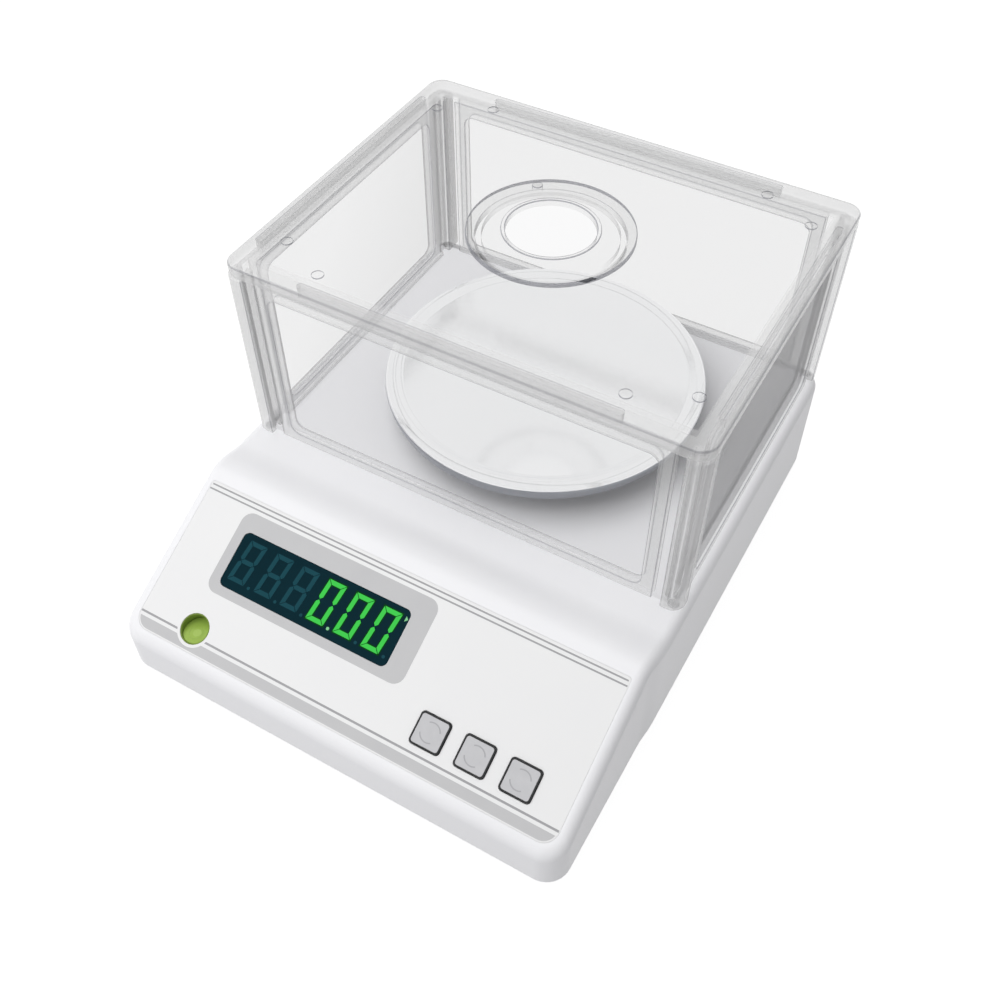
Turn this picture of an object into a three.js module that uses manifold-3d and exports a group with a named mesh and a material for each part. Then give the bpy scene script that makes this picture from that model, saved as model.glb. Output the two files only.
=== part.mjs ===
// Counting scale with a sloping control deck, a round steel pan and a clear lift-off wind shield.
// Millimetres, +Z up, +X to the user's right, the control deck faces -Y.
// The origin is on the bench, under the middle of the case.
import * as THREE from 'three';
import { mergeVertices } from 'three/addons/utils/BufferGeometryUtils.js';
import Module from 'manifold-3d';

const wasm = await Module();
wasm.setup();

const { Manifold, Mesh: SolidMesh } = wasm;
const radians = THREE.MathUtils.degToRad;

// Facets round a full circle, by size
const sides = {
  pan: 40,
  port: 36,
  large: 20,
  middle: 16,
  small: 12,
  tiny: 8,
};

// Steps along each rounded stretch of the case, outside and in its hollow
const caseSteps = { front: 3, brow: 3, fall: 3, rear: 3, corner: 3 };
const hollowSteps = { front: 2, brow: 2, fall: 2, rear: 2, corner: 2 };

// Steps of other rounded corners and bends
const bends = {
  slab: 3,
  lid: 4,
  lidEdge: 2,
  lidSlot: 2,
  arm: 4,
  window: 4,
  border: 2,
  panRim: 4,
};

// Gaps shared by every pair of pieces
const fit = {
  seat: 0.3,        // between faces that rest on each other
  side: 0.35,       // round a piece in its hole
  overrun: 1,       // how far a cut runs past the face it opens
  weld: 0.5,        // how far a joined lump reaches into its carrier
};

// Case
const shell = {
  ground: 8,              // skirt's lower edge above the bench
  platformHeight: 47.5,   // platform above the skirt's lower edge
  frontWall: 18.7,        // where the deck's plane meets the front wall
  deckAngle: 26,
  browRise: 2.8,          // brow's crest above the platform
  browRadius: 10.5,
  browRun: 16,            // from the crest back down to the platform
  cornerRadius: 9.4,      // upright corners in plan
  sideRadius: 4.2,        // long upper edges
  frontRadius: 5,
  rearRadius: 3.6,
  wall: 2.5,
  draft: 0.7,             // how far each side leans in over the platform's height
  ledge: 0.8,             // how far the platform's flanks stand out past the deck's
  ledgeRun: 1.6,
  ledgeShare: 0.5,        // share of the brow's run where the ledge starts
};

// Film on the deck and what shows through it; places are measured down the slope from the film's top edge
const film = {
  sideEdge: 5.2,          // from the case's sides
  top: 2.4,               // from the brow's tangent line to the film
  foot: 4.661,            // from the film to the deck's meeting line with the front wall
  thickness: 0.5,
  footRadius: 6,
  topRadius: 1.2,
};
const display = {
  windowWidth: 75.4,
  windowHeight: 22.6,
  windowRadius: 2.6,
  windowEdge: 66.6,       // window's middle in from the case's left side
  windowS: 23.6,
  windowThickness: 2,
  ledge: 1.8,
  moduleDepth: 6.4,
};
const keypad = {
  size: 11.9,
  radius: 1.6,
  count: 3,
  pitch: 18,
  sideEdge: 42.5,         // middle key in from the case's right side
  footEdge: 15.2,         // keys' middles up from the film's foot
  proud: 0.7,
  travel: 0.8,
  flange: 1,
  flangeThickness: 0.9,
  stem: 4.4,
  stemLength: 0.8,
};
const level = {
  radius: 6,
  sideEdge: 29.5,         // middle in from the case's left side
  footEdge: 8.9,          // middle up from the film's foot
  cupWall: 1,
  cupDepth: 9.5,
  rimDrop: 0.9,           // how far below the film the liquid's lens stands at its nearest point
};
const board = {
  thickness: 1.6,
  deckLeft: 23.5,         // deck board's ends in from the case's sides
  deckRight: 20.5,
  deckTop: 6,             // deck board's edges in from the film's
  deckFoot: 5.6,
  levelRoom: 3,           // bare space round the level's cup
  standoffRadius: 3,
  standoffEdge: 4,        // standoffs' middles in from the board's edges
  switchSize: 6.2,
  plungerRadius: 1.6,
  plungerRise: 1,
  mainWidth: 56,
  mainDepth: 84,
  mainEdge: 37.5,         // main board's middle in from the case's right side
  mainY: 0,
  mainRise: 6,
  screwRadius: 1.1,
  screwHead: 2.3,
  screwHeadHeight: 1.5,
  screwGrip: 4,
};

// Wind shield
const shield = {
  width: 187.2,
  depth: 145.3,
  sideMargin: 1.9,        // from the case's flanks
  frontMargin: 8.886,     // from the brow's foot
  rearMargin: 1,          // from the case's rear wall
  height: 83.1,
  postSize: 8,
  postRadius: 5.2,
  panelInset: 4,          // panels' middle plane in from the shield's outer faces
  plate: 2,
  tongueGroove: 2.2,
  tongueReveal: 4,        // bare tongue between post and border
  border: 4.2,
  borderWidth: 5,
  borderTop: 5.5,
  borderFoot: 4.2,
  borderRadius: 4,
  flange: 5.4,
  flangeHeight: 2,
  pegRadius: 1.8,
  pegLength: 3,
  postSoft: 0.8,          // posts' other corners
  socketWall: 2.2,
};
const lid = {
  plate: 3,
  rimDepth: 2.2,
  rimWidth: 3,
  cornerRadius: 6.5,
  edge: 1.2,
  frontSlotEdge: 31.1,    // slots' ends in from the lid's outer faces
  sideSlotEdge: 16.65,
  pipSide: 13.6,          // outer pips in from the lid's outer faces
  pipEnd: 21.65,
  pipInnerSide: 34.3,
  pipInnerEnd: 11.55,
  pipRadius: 2.3,
  pipHeight: 0.5,
  tabDrop: 0.4,           // panels' tabs below the lid's top
  slotEndShare: 0.45,     // slots' end radius as a share of their width
};
const port = {
  openingRadius: 27.8,
  flangeRadius: 31.1,
  flangeThickness: 2,
  holeRadius: 16.7,
  collarWall: 1.6,
  collarRise: 0.6,
  lipWall: 2.2,
  lipDepth: 2.6,
  nubRadius: 2,
  nubHeight: 2.6,
  nubAngle: 130.6,
  edgeShare: 0.25,        // flange's softened edge as a share of its thickness
};

// Weighing train
const panSize = {
  room: 1.55,             // from the rim to the panels' borders
  rise: 18,               // rim above the platform
  rimHeight: 7,
  rimWidth: 7.5,
  dish: 1.6,              // floor below the rim's crest
  sheet: 1.2,
  rimRadius: 3.4,
};
const support = {
  armWidth: 14,
  armInset: 16,           // arms' ends in from the pan's edge
  armThickness: 4,
  hubRadius: 12,
  sleeveRadius: 8,
  padRadius: 5,
  padInset: 23,
  padSink: 1,
  padRise: 2.5,           // pads' tops above the arms
  platformClearance: 3,   // sleeve's lower end above the platform's collar
};
const spigot = {
  radius: 4.5,
  baseRadius: 9,
};
const cell = {
  endRoom: 12.65,         // ends in from the shield's outer faces
  width: 22,
  height: 22,
  plinth: 1,
  spacer: 4,
  footLength: 26,
  boreRadius: 7,
  borePitch: 22,
  webSlot: 5,
  screwRadius: 2,
  screwPitch: 12,
  screwEdge: 7,
  screwHead: 4,
  screwHeadHeight: 2.6,
  screwGrip: 10,
  bracketPlate: 3.4,
  bracketFoot: 2.4,
  platformHole: 12,
  collarWall: 3,
  collarRise: 1.4,
  stopRadius: 5,
  stopGap: 0.5,           // under the free end, the most that it may sink
};

// Base, feet, battery and rear wall
const base = {
  plate: 2.5,
  recess: 1,              // plate above the skirt's lower edge
  lip: 6,
  lipWall: 2,
};
const bossSize = {
  radius: 4,
  sideEdge: 11.5,         // bosses' middles in from the case's sides
  frontEdge: 15.2,
  rearEdge: 19.2,
  seatRise: 1.6,
  seatRadius: 5,
  pilot: 1.3,
  gripLength: 8,
  headRadius: 2.7,
  headHeight: 2,
};
const foot = {
  sideEdge: 29.5,         // feet's middles in from the case's sides
  endEdge: 23.2,
  padRadius: 8.5,
  padThickness: 2.4,
  padFloor: 1.2,
  wheelRadius: 10,
  wheelThickness: 3,
  spigotRadius: 4,
  studRadius: 3,
  studLength: 10,
  sleeveRadius: 6,
  sleeveHeight: 8,
  lobes: 8,
  lobeSteps: 4,
  lobeDepth: 0.6,
};
const battery = {
  length: 92,
  width: 36,
  height: 22,
  cornerRadius: 3,
  sideEdge: 43.5,         // middle in from the case's left side
  y: 10,
  bayWall: 2.5,
  bayHeight: 12,
  shelf: 3,
  lip: 0.8,
  doorTravel: 8,
};
const rear = {
  rockerEdge: 55.5,       // middles in from the case's left side
  rockerWidth: 17,
  rockerHeight: 11,
  rockerDepth: 5,
  rockerDip: 1.6,
  rockerTaper: 2.5,
  rockerTip: 8,
  frameWall: 1.4,
  frameEdge: 1.8,
  frameFlange: 1.2,
  frameDepth: 11,
  centreRise: 20,         // switch and jack above the skirt's lower edge
  jackEdge: 29.5,
  jackRadius: 4.2,
  jackBore: 2.8,
  jackBody: 11,
  jackDepth: 12,
  jackPin: 1,
  jackBoreDepth: 8,
};

const screwHead = {
  slotLengthShare: 1.3,   // of the head's radius
  slotWidthShare: 0.3,
  slotDepthShare: 0.5,    // of the head's height
};

// Levels and places that several pieces share
const platformZ = shell.ground + shell.platformHeight;
const crestZ = platformZ + shell.browRise;
const slope = radians(shell.deckAngle);
const browZ = crestZ - shell.browRadius;
const deckRise = (browZ - shell.ground - shell.frontWall) * Math.cos(slope) + shell.browRadius;
const browReach = deckRise / Math.sin(slope);
const deckReach = browReach / Math.cos(slope) - shell.browRadius * Math.tan(slope);
const platformDepth = shield.frontMargin + shield.depth + shield.rearMargin;
const caseWidth = shield.width + 2 * shield.sideMargin;
const caseDepth = browReach + shell.browRun + platformDepth;
const frontY = -caseDepth / 2;
const rearY = caseDepth / 2;
const shieldY = rearY - shield.rearMargin - shield.depth / 2;
const lidTopZ = platformZ + shield.height;
const lidRimZ = lidTopZ - lid.plate - lid.rimDepth;
const lidPlateZ = lidTopZ - lid.plate;
const baseZ = shell.ground + base.recess;
const baseTopZ = baseZ + base.plate;
const panTopZ = platformZ + panSize.rise;
const panFloorZ = panTopZ - panSize.dish - panSize.sheet;
const armTopZ = panFloorZ - fit.seat - support.padRise;
const sleeveFootZ = platformZ + cell.collarRise + support.platformClearance;
const cellZ = baseTopZ + cell.plinth + cell.spacer + 2 * fit.seat;
const cellTopZ = cellZ + cell.height;
const cellLength = shield.depth - 2 * cell.endRoom;
const cellFrontY = shieldY - cellLength / 2;
const cellRearY = shieldY + cellLength / 2;
const bracketTopZ = cellTopZ + fit.seat + cell.bracketFoot + cell.bracketPlate;
const wheelZ = foot.padThickness + fit.seat;
const rearZ = shell.ground + rear.centreRise;
const panRadius = shield.depth / 2 - shield.panelInset - shield.border / 2 - panSize.room;
const padReach = panRadius - support.padInset;
const filmWidth = caseWidth - 2 * film.sideEdge;
const filmLength = deckReach - film.top - film.foot;
const windowX = display.windowEdge - caseWidth / 2;
const levelX = level.sideEdge - caseWidth / 2;
const batteryX = battery.sideEdge - caseWidth / 2;
const rockerX = rear.rockerEdge - caseWidth / 2;
const jackX = rear.jackEdge - caseWidth / 2;
const mainX = caseWidth / 2 - board.mainEdge;
const deckBoardWidth = caseWidth - board.deckLeft - board.deckRight;
const deckBoardX = (board.deckLeft - board.deckRight) / 2;
const deckBoardHeight = filmLength - board.deckTop - board.deckFoot;
const deckBoardS = board.deckTop + deckBoardHeight / 2;
const keysX = caseWidth / 2 - keypad.sideEdge;
const keysS = filmLength - keypad.footEdge;
const levelS = filmLength - level.footEdge;

const group = new THREE.Group();
const finishes = {
  caseWhite: { color: 0xf0f0f2, roughness: 0.42, metalness: 0 },
  filmWhite: { color: 0xefefef, roughness: 0.5, metalness: 0 },
  teal: { color: 0x03303f, roughness: 0.15, metalness: 0 },
  black: { color: 0x1b1c1e, roughness: 0.6, metalness: 0 },
  keyGrey: { color: 0xcfcfcf, roughness: 0.5, metalness: 0 },
  liquid: { color: 0x9abf4a, roughness: 0.15, metalness: 0 },
  clear: { color: 0xeaf0f2, roughness: 0.05, metalness: 0, transparent: true, opacity: 0.35 },
  steel: { color: 0xc8cacc, roughness: 0.22, metalness: 1 },
  aluminium: { color: 0xb9bbbe, roughness: 0.4, metalness: 1 },
  boardGreen: { color: 0x1d5a34, roughness: 0.6, metalness: 0 },
  rubber: { color: 0x26272a, roughness: 0.85, metalness: 0 },
  greyPlastic: { color: 0xb9b9bd, roughness: 0.5, metalness: 0 },
};

// Geometry helpers

function toSolid(geometry) {
  const bare = geometry.clone();
  bare.deleteAttribute('normal');
  bare.deleteAttribute('uv');
  const merged = mergeVertices(bare, 1e-5);
  return new Manifold(new SolidMesh({
    numProp: 3,
    vertProperties: new Float32Array(merged.attributes.position.array),
    triVerts: new Uint32Array(merged.index.array),
  }));
}

function toGeometry(solid) {
  const mesh = solid.getMesh();
  const geometry = new THREE.BufferGeometry();
  geometry.setAttribute('position', new THREE.BufferAttribute(new Float32Array(mesh.vertProperties), 3));
  geometry.setIndex(new THREE.BufferAttribute(new Uint32Array(mesh.triVerts), 1));
  geometry.computeVertexNormals();
  return geometry;
}

function join(first, ...others) {
  return others.reduce((sum, other) => sum.add(other), first);
}

function cut(first, ...others) {
  return others.reduce((rest, other) => rest.subtract(other), first);
}

function place(name, solid, finish) {
  const mesh = new THREE.Mesh(toGeometry(solid), new THREE.MeshStandardMaterial(finishes[finish]));
  mesh.name = name;
  group.add(mesh);
}

function box(sizeX, sizeY, sizeZ, x, y, bottomZ) {
  return toSolid(new THREE.BoxGeometry(sizeX, sizeY, sizeZ).translate(x, y, bottomZ + sizeZ / 2));
}

function disc(radius, height, x, y, bottomZ, facets = sides.middle) {
  const geometry = new THREE.CylinderGeometry(radius, radius, height, facets);
  return toSolid(geometry.rotateX(Math.PI / 2).translate(x, y, bottomZ + height / 2));
}

// Radii run anticlockwise from the corner at -x, -y
function cornered(width, depth, radii) {
  const x = width / 2;
  const y = depth / 2;
  const corners = [[-x, -y], [x, -y], [x, y], [-x, y]];
  const shape = new THREE.Shape();
  corners.forEach(([cornerX, cornerY], i) => {
    const radius = radii[i];
    const start = Math.PI + (Math.PI / 2) * i;
    const centreX = cornerX - Math.sign(cornerX) * radius;
    const centreY = cornerY - Math.sign(cornerY) * radius;
    shape.absarc(centreX, centreY, radius, start, start + Math.PI / 2);
  });
  shape.closePath();
  return shape;
}

function roundedRectangle(width, depth, radius) {
  return cornered(width, depth, [radius, radius, radius, radius]);
}

function slab(shape, height, x, y, bottomZ, steps = bends.slab) {
  const options = { depth: height, bevelEnabled: false, curveSegments: steps };
  const geometry = new THREE.ExtrudeGeometry(shape, options);
  return toSolid(geometry.translate(x, y, bottomZ));
}

function roundedSlab(width, depth, height, radius, x, y, bottomZ, steps = bends.slab) {
  return slab(roundedRectangle(width, depth, radius), height, x, y, bottomZ, steps);
}

function softSlab(width, depth, height, radius, edge, x, y, bottomZ) {
  const geometry = new THREE.ExtrudeGeometry(roundedRectangle(width, depth, radius), {
    depth: height - 2 * edge,
    bevelThickness: edge,
    bevelSize: edge,
    bevelOffset: -edge,
    bevelSegments: bends.lidEdge,
    curveSegments: bends.lid,
  });
  return toSolid(geometry.translate(x, y, bottomZ + edge));
}

// Pan-head screw along +Z: its head's outer face is at bottomZ, its shank runs up
function screw(radius, headRadius, headHeight, length, x, y, bottomZ) {
  const head = disc(headRadius, headHeight, x, y, bottomZ, sides.small);
  const slot = box(
    headRadius * screwHead.slotLengthShare,
    headRadius * screwHead.slotWidthShare,
    headHeight * screwHead.slotDepthShare + fit.overrun,
    x,
    y,
    bottomZ - fit.overrun,
  );
  const shank = disc(radius, length + fit.weld, x, y, bottomZ + headHeight - fit.weld, sides.tiny);
  return join(cut(head, slot), shank);
}

function turned(points, x, y, facets) {
  const profile = points.map(([r, z]) => new THREE.Vector2(r, z));
  const geometry = new THREE.LatheGeometry(profile, facets);
  return toSolid(geometry.rotateX(Math.PI / 2).translate(x, y, 0));
}

// Deck: its own frame has x across, y up the slope and z out of the deck; y runs from the film's top edge

const deckFrame = (() => {
  const browY = frontY + browReach;
  const tangentY = browY - shell.browRadius * Math.sin(slope);
  const tangentZ = browZ + shell.browRadius * Math.cos(slope);
  const origin = new THREE.Vector3(
    0,
    tangentY - film.top * Math.cos(slope),
    tangentZ - film.top * Math.sin(slope),
  );
  const matrix = new THREE.Matrix4().makeRotationX(slope).setPosition(origin);
  return { browY, matrix };
})();

function onDeck(solid) {
  return solid.transform(deckFrame.matrix.elements);
}

// Case: a loft of side profiles across the width. Each ring runs over the top from the front wall's foot to
// the rear wall's foot and back along the bottom, so the two flanks are upright strips.

function caseProfile(inset, ends, drop, bottomZ, steps) {
  const tan = Math.tan(slope);
  const front = frontY + inset + ends;
  const back = rearY - inset - ends;
  const planeAtFront = shell.ground + shell.frontWall + (inset + ends) * tan - inset / Math.cos(slope);
  const radius = shell.frontRadius - inset / 2;
  const rearRadius = shell.rearRadius - inset / 2;
  const brow = shell.browRadius - inset;
  const top = platformZ - inset;
  const points = [[front, bottomZ, 0]];
  const tangent = radius * Math.tan((Math.PI / 2 - slope) / 2);
  const centreY = front + radius;
  const centreZ = planeAtFront - tangent;
  const sweep = Math.PI / 2 - slope;
  for (let i = 0; i <= steps.front; i += 1) {
    const share = i / steps.front;
    const a = Math.PI - sweep * share;
    points.push([centreY + radius * Math.cos(a), centreZ + radius * Math.sin(a), share]);
  }
  for (let i = 0; i <= steps.brow; i += 1) {
    const a = Math.PI / 2 + slope * (1 - i / steps.brow);
    points.push([deckFrame.browY + brow * Math.cos(a), browZ + brow * Math.sin(a), 1]);
  }
  for (let i = 1; i <= steps.fall; i += 1) {
    const share = i / steps.fall;
    const fall = (1 - Math.cos(Math.PI * share)) / 2;
    points.push([deckFrame.browY + shell.browRun * share, top + shell.browRise * (1 - fall), 1]);
  }
  for (let i = 0; i <= steps.rear; i += 1) {
    const share = i / steps.rear;
    const a = (Math.PI / 2) * (1 - share);
    const y = back - rearRadius + rearRadius * Math.cos(a);
    points.push([y, top - rearRadius + rearRadius * Math.sin(a), 1 - share]);
  }
  points.push([back, bottomZ, 0]);
  return points.map(([y, z, weight]) => [y, z - drop * weight]);
}

function caseStations(inset, steps) {
  const half = caseWidth / 2 - inset;
  const corner = shell.cornerRadius - inset;
  const edge = shell.sideRadius - inset / 2;
  const distances = new Set();
  for (let i = 0; i <= steps.corner; i += 1) {
    const a = (Math.PI / 2) * (i / steps.corner);
    distances.add(corner * (1 - Math.sin(a)));
    distances.add(edge * (1 - Math.sin(a)));
  }
  const arc = (radius, distance) => {
    const reach = Math.max(0, radius - distance);
    return radius - Math.sqrt(Math.max(0, radius * radius - reach * reach));
  };
  return [...distances].sort((a, b) => b - a).map((distance) => ({
    x: half - distance,
    ends: arc(corner, distance),
    drop: arc(edge, distance),
  }));
}

function flankShare(y) {
  const start = deckFrame.browY + shell.browRun * shell.ledgeShare;
  return THREE.MathUtils.clamp((y - start) / shell.ledgeRun, 0, 1);
}

function caseLoft(inset, bottomZ, steps) {
  const right = caseStations(inset, steps);
  const stations = [...right.map((s) => ({ ...s, x: -s.x })).reverse(), ...right];
  const positions = [];
  const rings = stations.map(({ x, ends, drop }) => {
    const over = caseProfile(inset, ends, drop, bottomZ, steps);
    const under = over.slice(2, -2).reverse().map(([y]) => [y, bottomZ]);
    const ring = [...over, ...under];
    ring.forEach(([y, z]) => {
      const lean = (shell.draft * (z - shell.ground)) / shell.platformHeight;
      const out = shell.ledge * flankShare(y);
      const scale = 1 + (out - lean) / (caseWidth / 2);
      positions.push(x * scale, y, z);
    });
    return { over: over.length, all: ring.length };
  });
  const { over, all } = rings[0];
  const index = [];
  for (let s = 0; s < stations.length - 1; s += 1) {
    for (let i = 0; i < all; i += 1) {
      const a = s * all + i;
      const b = s * all + ((i + 1) % all);
      index.push(a, a + all, b, b, a + all, b + all);
    }
  }
  const below = (i) => {
    if (i === 1) return 0;
    return i === over - 2 ? over - 1 : 2 * over - 3 - i;
  };
  const last = (stations.length - 1) * all;
  for (let i = 1; i < over - 2; i += 1) {
    const a = i;
    const b = i + 1;
    const c = below(i + 1);
    const d = below(i);
    index.push(a, b, c, a, c, d);
    index.push(last + a, last + c, last + b, last + a, last + d, last + c);
  }
  const geometry = new THREE.BufferGeometry();
  geometry.setAttribute('position', new THREE.Float32BufferAttribute(positions, 3));
  geometry.setIndex(index);
  return toSolid(geometry);
}

// Places that the case top shares with what fits in it

const bossPlaces = [
  [-1, frontY + bossSize.frontEdge],
  [1, frontY + bossSize.frontEdge],
  [-1, rearY - bossSize.rearEdge],
  [1, rearY - bossSize.rearEdge],
].map(([side, y]) => [side * (caseWidth / 2 - bossSize.sideEdge), y]);

const footPlaces = [
  [-1, frontY + foot.endEdge],
  [1, frontY + foot.endEdge],
  [-1, rearY - foot.endEdge],
  [1, rearY - foot.endEdge],
].map(([side, y]) => [side * (caseWidth / 2 - foot.sideEdge), y]);

const postPlaces = {
  front_left: [-1, -1],
  front_right: [1, -1],
  back_left: [-1, 1],
  back_right: [1, 1],
};

function postMiddle([sideX, sideY]) {
  return [
    sideX * (shield.width / 2 - shield.postSize / 2),
    shieldY + sideY * (shield.depth / 2 - shield.postSize / 2),
  ];
}

const keyXs = Array.from({ length: keypad.count }, (_, i) => (
  keysX + keypad.pitch * (i - (keypad.count - 1) / 2)
));

// Heights in the deck's frame
const moduleTop = -display.windowThickness - fit.seat;
const boardTop = moduleTop - display.moduleDepth - fit.seat;
const keyFlangeTop = -shell.wall - fit.seat;
const keyStemFoot = keyFlangeTop - keypad.flangeThickness - keypad.stemLength;
const switchTop = keyStemFoot - keypad.travel - fit.seat;
const boardTopS = deckBoardS - deckBoardHeight / 2;
const standoffPlaces = [
  [deckBoardX - deckBoardWidth / 2 + board.standoffEdge, boardTopS + board.standoffEdge],
  [deckBoardX + deckBoardWidth / 2 - board.standoffEdge, boardTopS + board.standoffEdge],
  [deckBoardX, boardTopS + deckBoardHeight - board.standoffEdge],
];
const mainStandoffs = [[-1, -1], [1, -1], [-1, 1], [1, 1]].map(([sideX, sideY]) => [
  mainX + sideX * (board.mainWidth / 2 - board.standoffEdge),
  board.mainY + sideY * (board.mainDepth / 2 - board.standoffEdge),
]);

// Case top

function deckCuts() {
  const filmRoom = slab(
    cornered(
      filmWidth + 2 * fit.side,
      filmLength + 2 * fit.side,
      [film.footRadius, film.footRadius, film.topRadius, film.topRadius],
    ),
    film.thickness + fit.seat + fit.overrun,
    0,
    -filmLength / 2,
    -film.thickness - fit.seat,
  );
  const windowRoom = roundedSlab(
    display.windowWidth + 2 * fit.side,
    display.windowHeight + 2 * fit.side,
    display.windowThickness + fit.seat + fit.overrun,
    display.windowRadius + fit.side,
    windowX,
    -display.windowS,
    -display.windowThickness - fit.seat,
  );
  const windowHole = box(
    display.windowWidth - 2 * display.ledge,
    display.windowHeight - 2 * display.ledge,
    shell.wall + fit.overrun,
    windowX,
    -display.windowS,
    -shell.wall - fit.overrun,
  );
  const keyHoles = keyXs.map((x) => roundedSlab(
    keypad.size + 2 * fit.side,
    keypad.size + 2 * fit.side,
    shell.wall + 2 * fit.overrun,
    keypad.radius + fit.side,
    x,
    -keysS,
    -shell.wall - fit.overrun,
  ));
  const levelHole = disc(
    level.radius + fit.side,
    shell.wall + 2 * fit.overrun,
    levelX,
    -levelS,
    -shell.wall - fit.overrun,
    sides.large,
  );
  return onDeck(join(filmRoom, windowRoom, windowHole, ...keyHoles, levelHole));
}

function deckStandoffs() {
  const height = -shell.wall + fit.weld - boardTop - fit.seat;
  const pins = standoffPlaces.map(([x, s]) => cut(
    disc(board.standoffRadius, height, x, -s, boardTop + fit.seat, sides.small),
    disc(
      board.screwRadius + fit.side,
      board.screwGrip + fit.overrun,
      x,
      -s,
      boardTop + fit.seat - fit.overrun,
      sides.tiny,
    ),
  ));
  return onDeck(join(...pins));
}

function caseBosses(skin) {
  const foot0 = baseTopZ + bossSize.seatRise + fit.seat;
  const tall = crestZ - foot0;
  const columns = bossPlaces.map(([x, y]) => cut(
    disc(bossSize.radius, tall, x, y, foot0),
    disc(
      bossSize.pilot + fit.side,
      bossSize.gripLength + 2 * fit.overrun,
      x,
      y,
      foot0 - fit.overrun,
      sides.tiny,
    ),
  ));
  const sockets = Object.values(postPlaces).map((sides) => {
    const [x, y] = postMiddle(sides);
    const radius = shield.pegRadius + fit.side + shield.socketWall;
    const height = shield.pegLength + fit.overrun + fit.seat;
    return disc(radius, height, x, y, platformZ - height, sides.small);
  });
  return join(...columns, ...sockets).intersect(skin);
}

function rearCuts() {
  const frameWidth = rear.rockerWidth + 2 * (rear.frameWall + fit.side);
  const frameHeight = rear.rockerHeight + 2 * (rear.frameWall + fit.side);
  const deep = shell.wall + 2 * fit.overrun;
  const hole = box(
    frameWidth + 2 * fit.side,
    deep,
    frameHeight + 2 * fit.side,
    rockerX,
    rearY - shell.wall / 2,
    rearZ - frameHeight / 2 - fit.side,
  );
  const room = box(
    frameWidth + 2 * (rear.frameEdge + fit.side),
    rear.frameFlange + fit.seat + fit.overrun,
    frameHeight + 2 * (rear.frameEdge + fit.side),
    rockerX,
    rearY + (fit.overrun - rear.frameFlange - fit.seat) / 2,
    rearZ - frameHeight / 2 - rear.frameEdge - fit.side,
  );
  const jackHole = toSolid(
    new THREE.CylinderGeometry(rear.jackRadius + fit.side, rear.jackRadius + fit.side, deep, sides.middle)
      .translate(jackX, rearY - shell.wall / 2, rearZ),
  );
  return join(hole, room, jackHole);
}

function upperCase() {
  const skin = caseLoft(0, shell.ground, caseSteps);
  const hollow = caseLoft(shell.wall, shell.ground - fit.overrun, hollowSteps);
  const collarRadius = cell.platformHole + cell.collarWall;
  const collarHeight = cell.collarRise + fit.weld;
  const collar = disc(collarRadius, collarHeight, 0, shieldY, platformZ - fit.weld, sides.large);
  const holeFoot = platformZ - shell.wall - fit.overrun;
  const holeDepth = shell.wall + cell.collarRise + 2 * fit.overrun;
  const hubHole = disc(cell.platformHole, holeDepth, 0, shieldY, holeFoot, sides.large);
  const pegHoles = Object.values(postPlaces).map((sides) => {
    const [x, y] = postMiddle(sides);
    const depth = shield.pegLength + fit.seat;
    return disc(shield.pegRadius + fit.side, depth + fit.overrun, x, y, platformZ - depth, sides.small);
  });
  const body = join(cut(skin, hollow), caseBosses(skin), deckStandoffs(), collar);
  return cut(body, deckCuts(), hubHole, rearCuts(), ...pegHoles);
}

// Deck

function deckOverlay() {
  const sheet = slab(
    cornered(filmWidth, filmLength, [film.footRadius, film.footRadius, film.topRadius, film.topRadius]),
    film.thickness,
    0,
    -filmLength / 2,
    -film.thickness,
  );
  const room = film.thickness + 2 * fit.overrun;
  const low = -film.thickness - fit.overrun;
  const windowHole = roundedSlab(
    display.windowWidth + 2 * fit.side,
    display.windowHeight + 2 * fit.side,
    room,
    display.windowRadius + fit.side,
    windowX,
    -display.windowS,
    low,
  );
  const keySide = keypad.size + 2 * fit.side;
  const keyHoles = keyXs.map((x) => (
    roundedSlab(keySide, keySide, room, keypad.radius + fit.side, x, -keysS, low)
  ));
  const levelHole = disc(level.radius + fit.side, room, levelX, -levelS, low, sides.large);
  return onDeck(cut(sheet, windowHole, levelHole, ...keyHoles));
}

function displayWindow() {
  return onDeck(roundedSlab(
    display.windowWidth,
    display.windowHeight,
    display.windowThickness,
    display.windowRadius,
    windowX,
    -display.windowS,
    -display.windowThickness,
  ));
}

function displayModule() {
  const shrink = 2 * (display.ledge + fit.side);
  return onDeck(box(
    display.windowWidth - shrink,
    display.windowHeight - shrink,
    display.moduleDepth,
    windowX,
    -display.windowS,
    moduleTop - display.moduleDepth,
  ));
}

function deckBoard() {
  const sheet = box(
    deckBoardWidth,
    deckBoardHeight,
    board.thickness,
    deckBoardX,
    -deckBoardS,
    boardTop - board.thickness,
  );
  const room = level.radius + board.levelRoom;
  const left = deckBoardX - deckBoardWidth / 2;
  const notchWidth = levelX + room - left;
  const notchHeight = deckBoardS + deckBoardHeight / 2 - levelS + room;
  const notch = box(
    notchWidth + fit.overrun,
    notchHeight + fit.overrun,
    board.thickness + 2 * fit.overrun,
    left + (notchWidth - fit.overrun) / 2,
    -levelS + room - (notchHeight + fit.overrun) / 2,
    boardTop - board.thickness - fit.overrun,
  );
  const holes = standoffPlaces.map(([x, s]) => disc(
    board.screwRadius + fit.side,
    board.thickness + 2 * fit.overrun,
    x,
    -s,
    boardTop - board.thickness - fit.overrun,
    sides.tiny,
  ));
  return onDeck(cut(sheet, notch, ...holes));
}

function deckBoardScrew([x, s]) {
  const head = boardTop - board.thickness - fit.seat - board.screwHeadHeight;
  const length = board.thickness + fit.seat + board.screwGrip;
  return onDeck(screw(board.screwRadius, board.screwHead, board.screwHeadHeight, length, x, -s, head));
}

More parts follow.
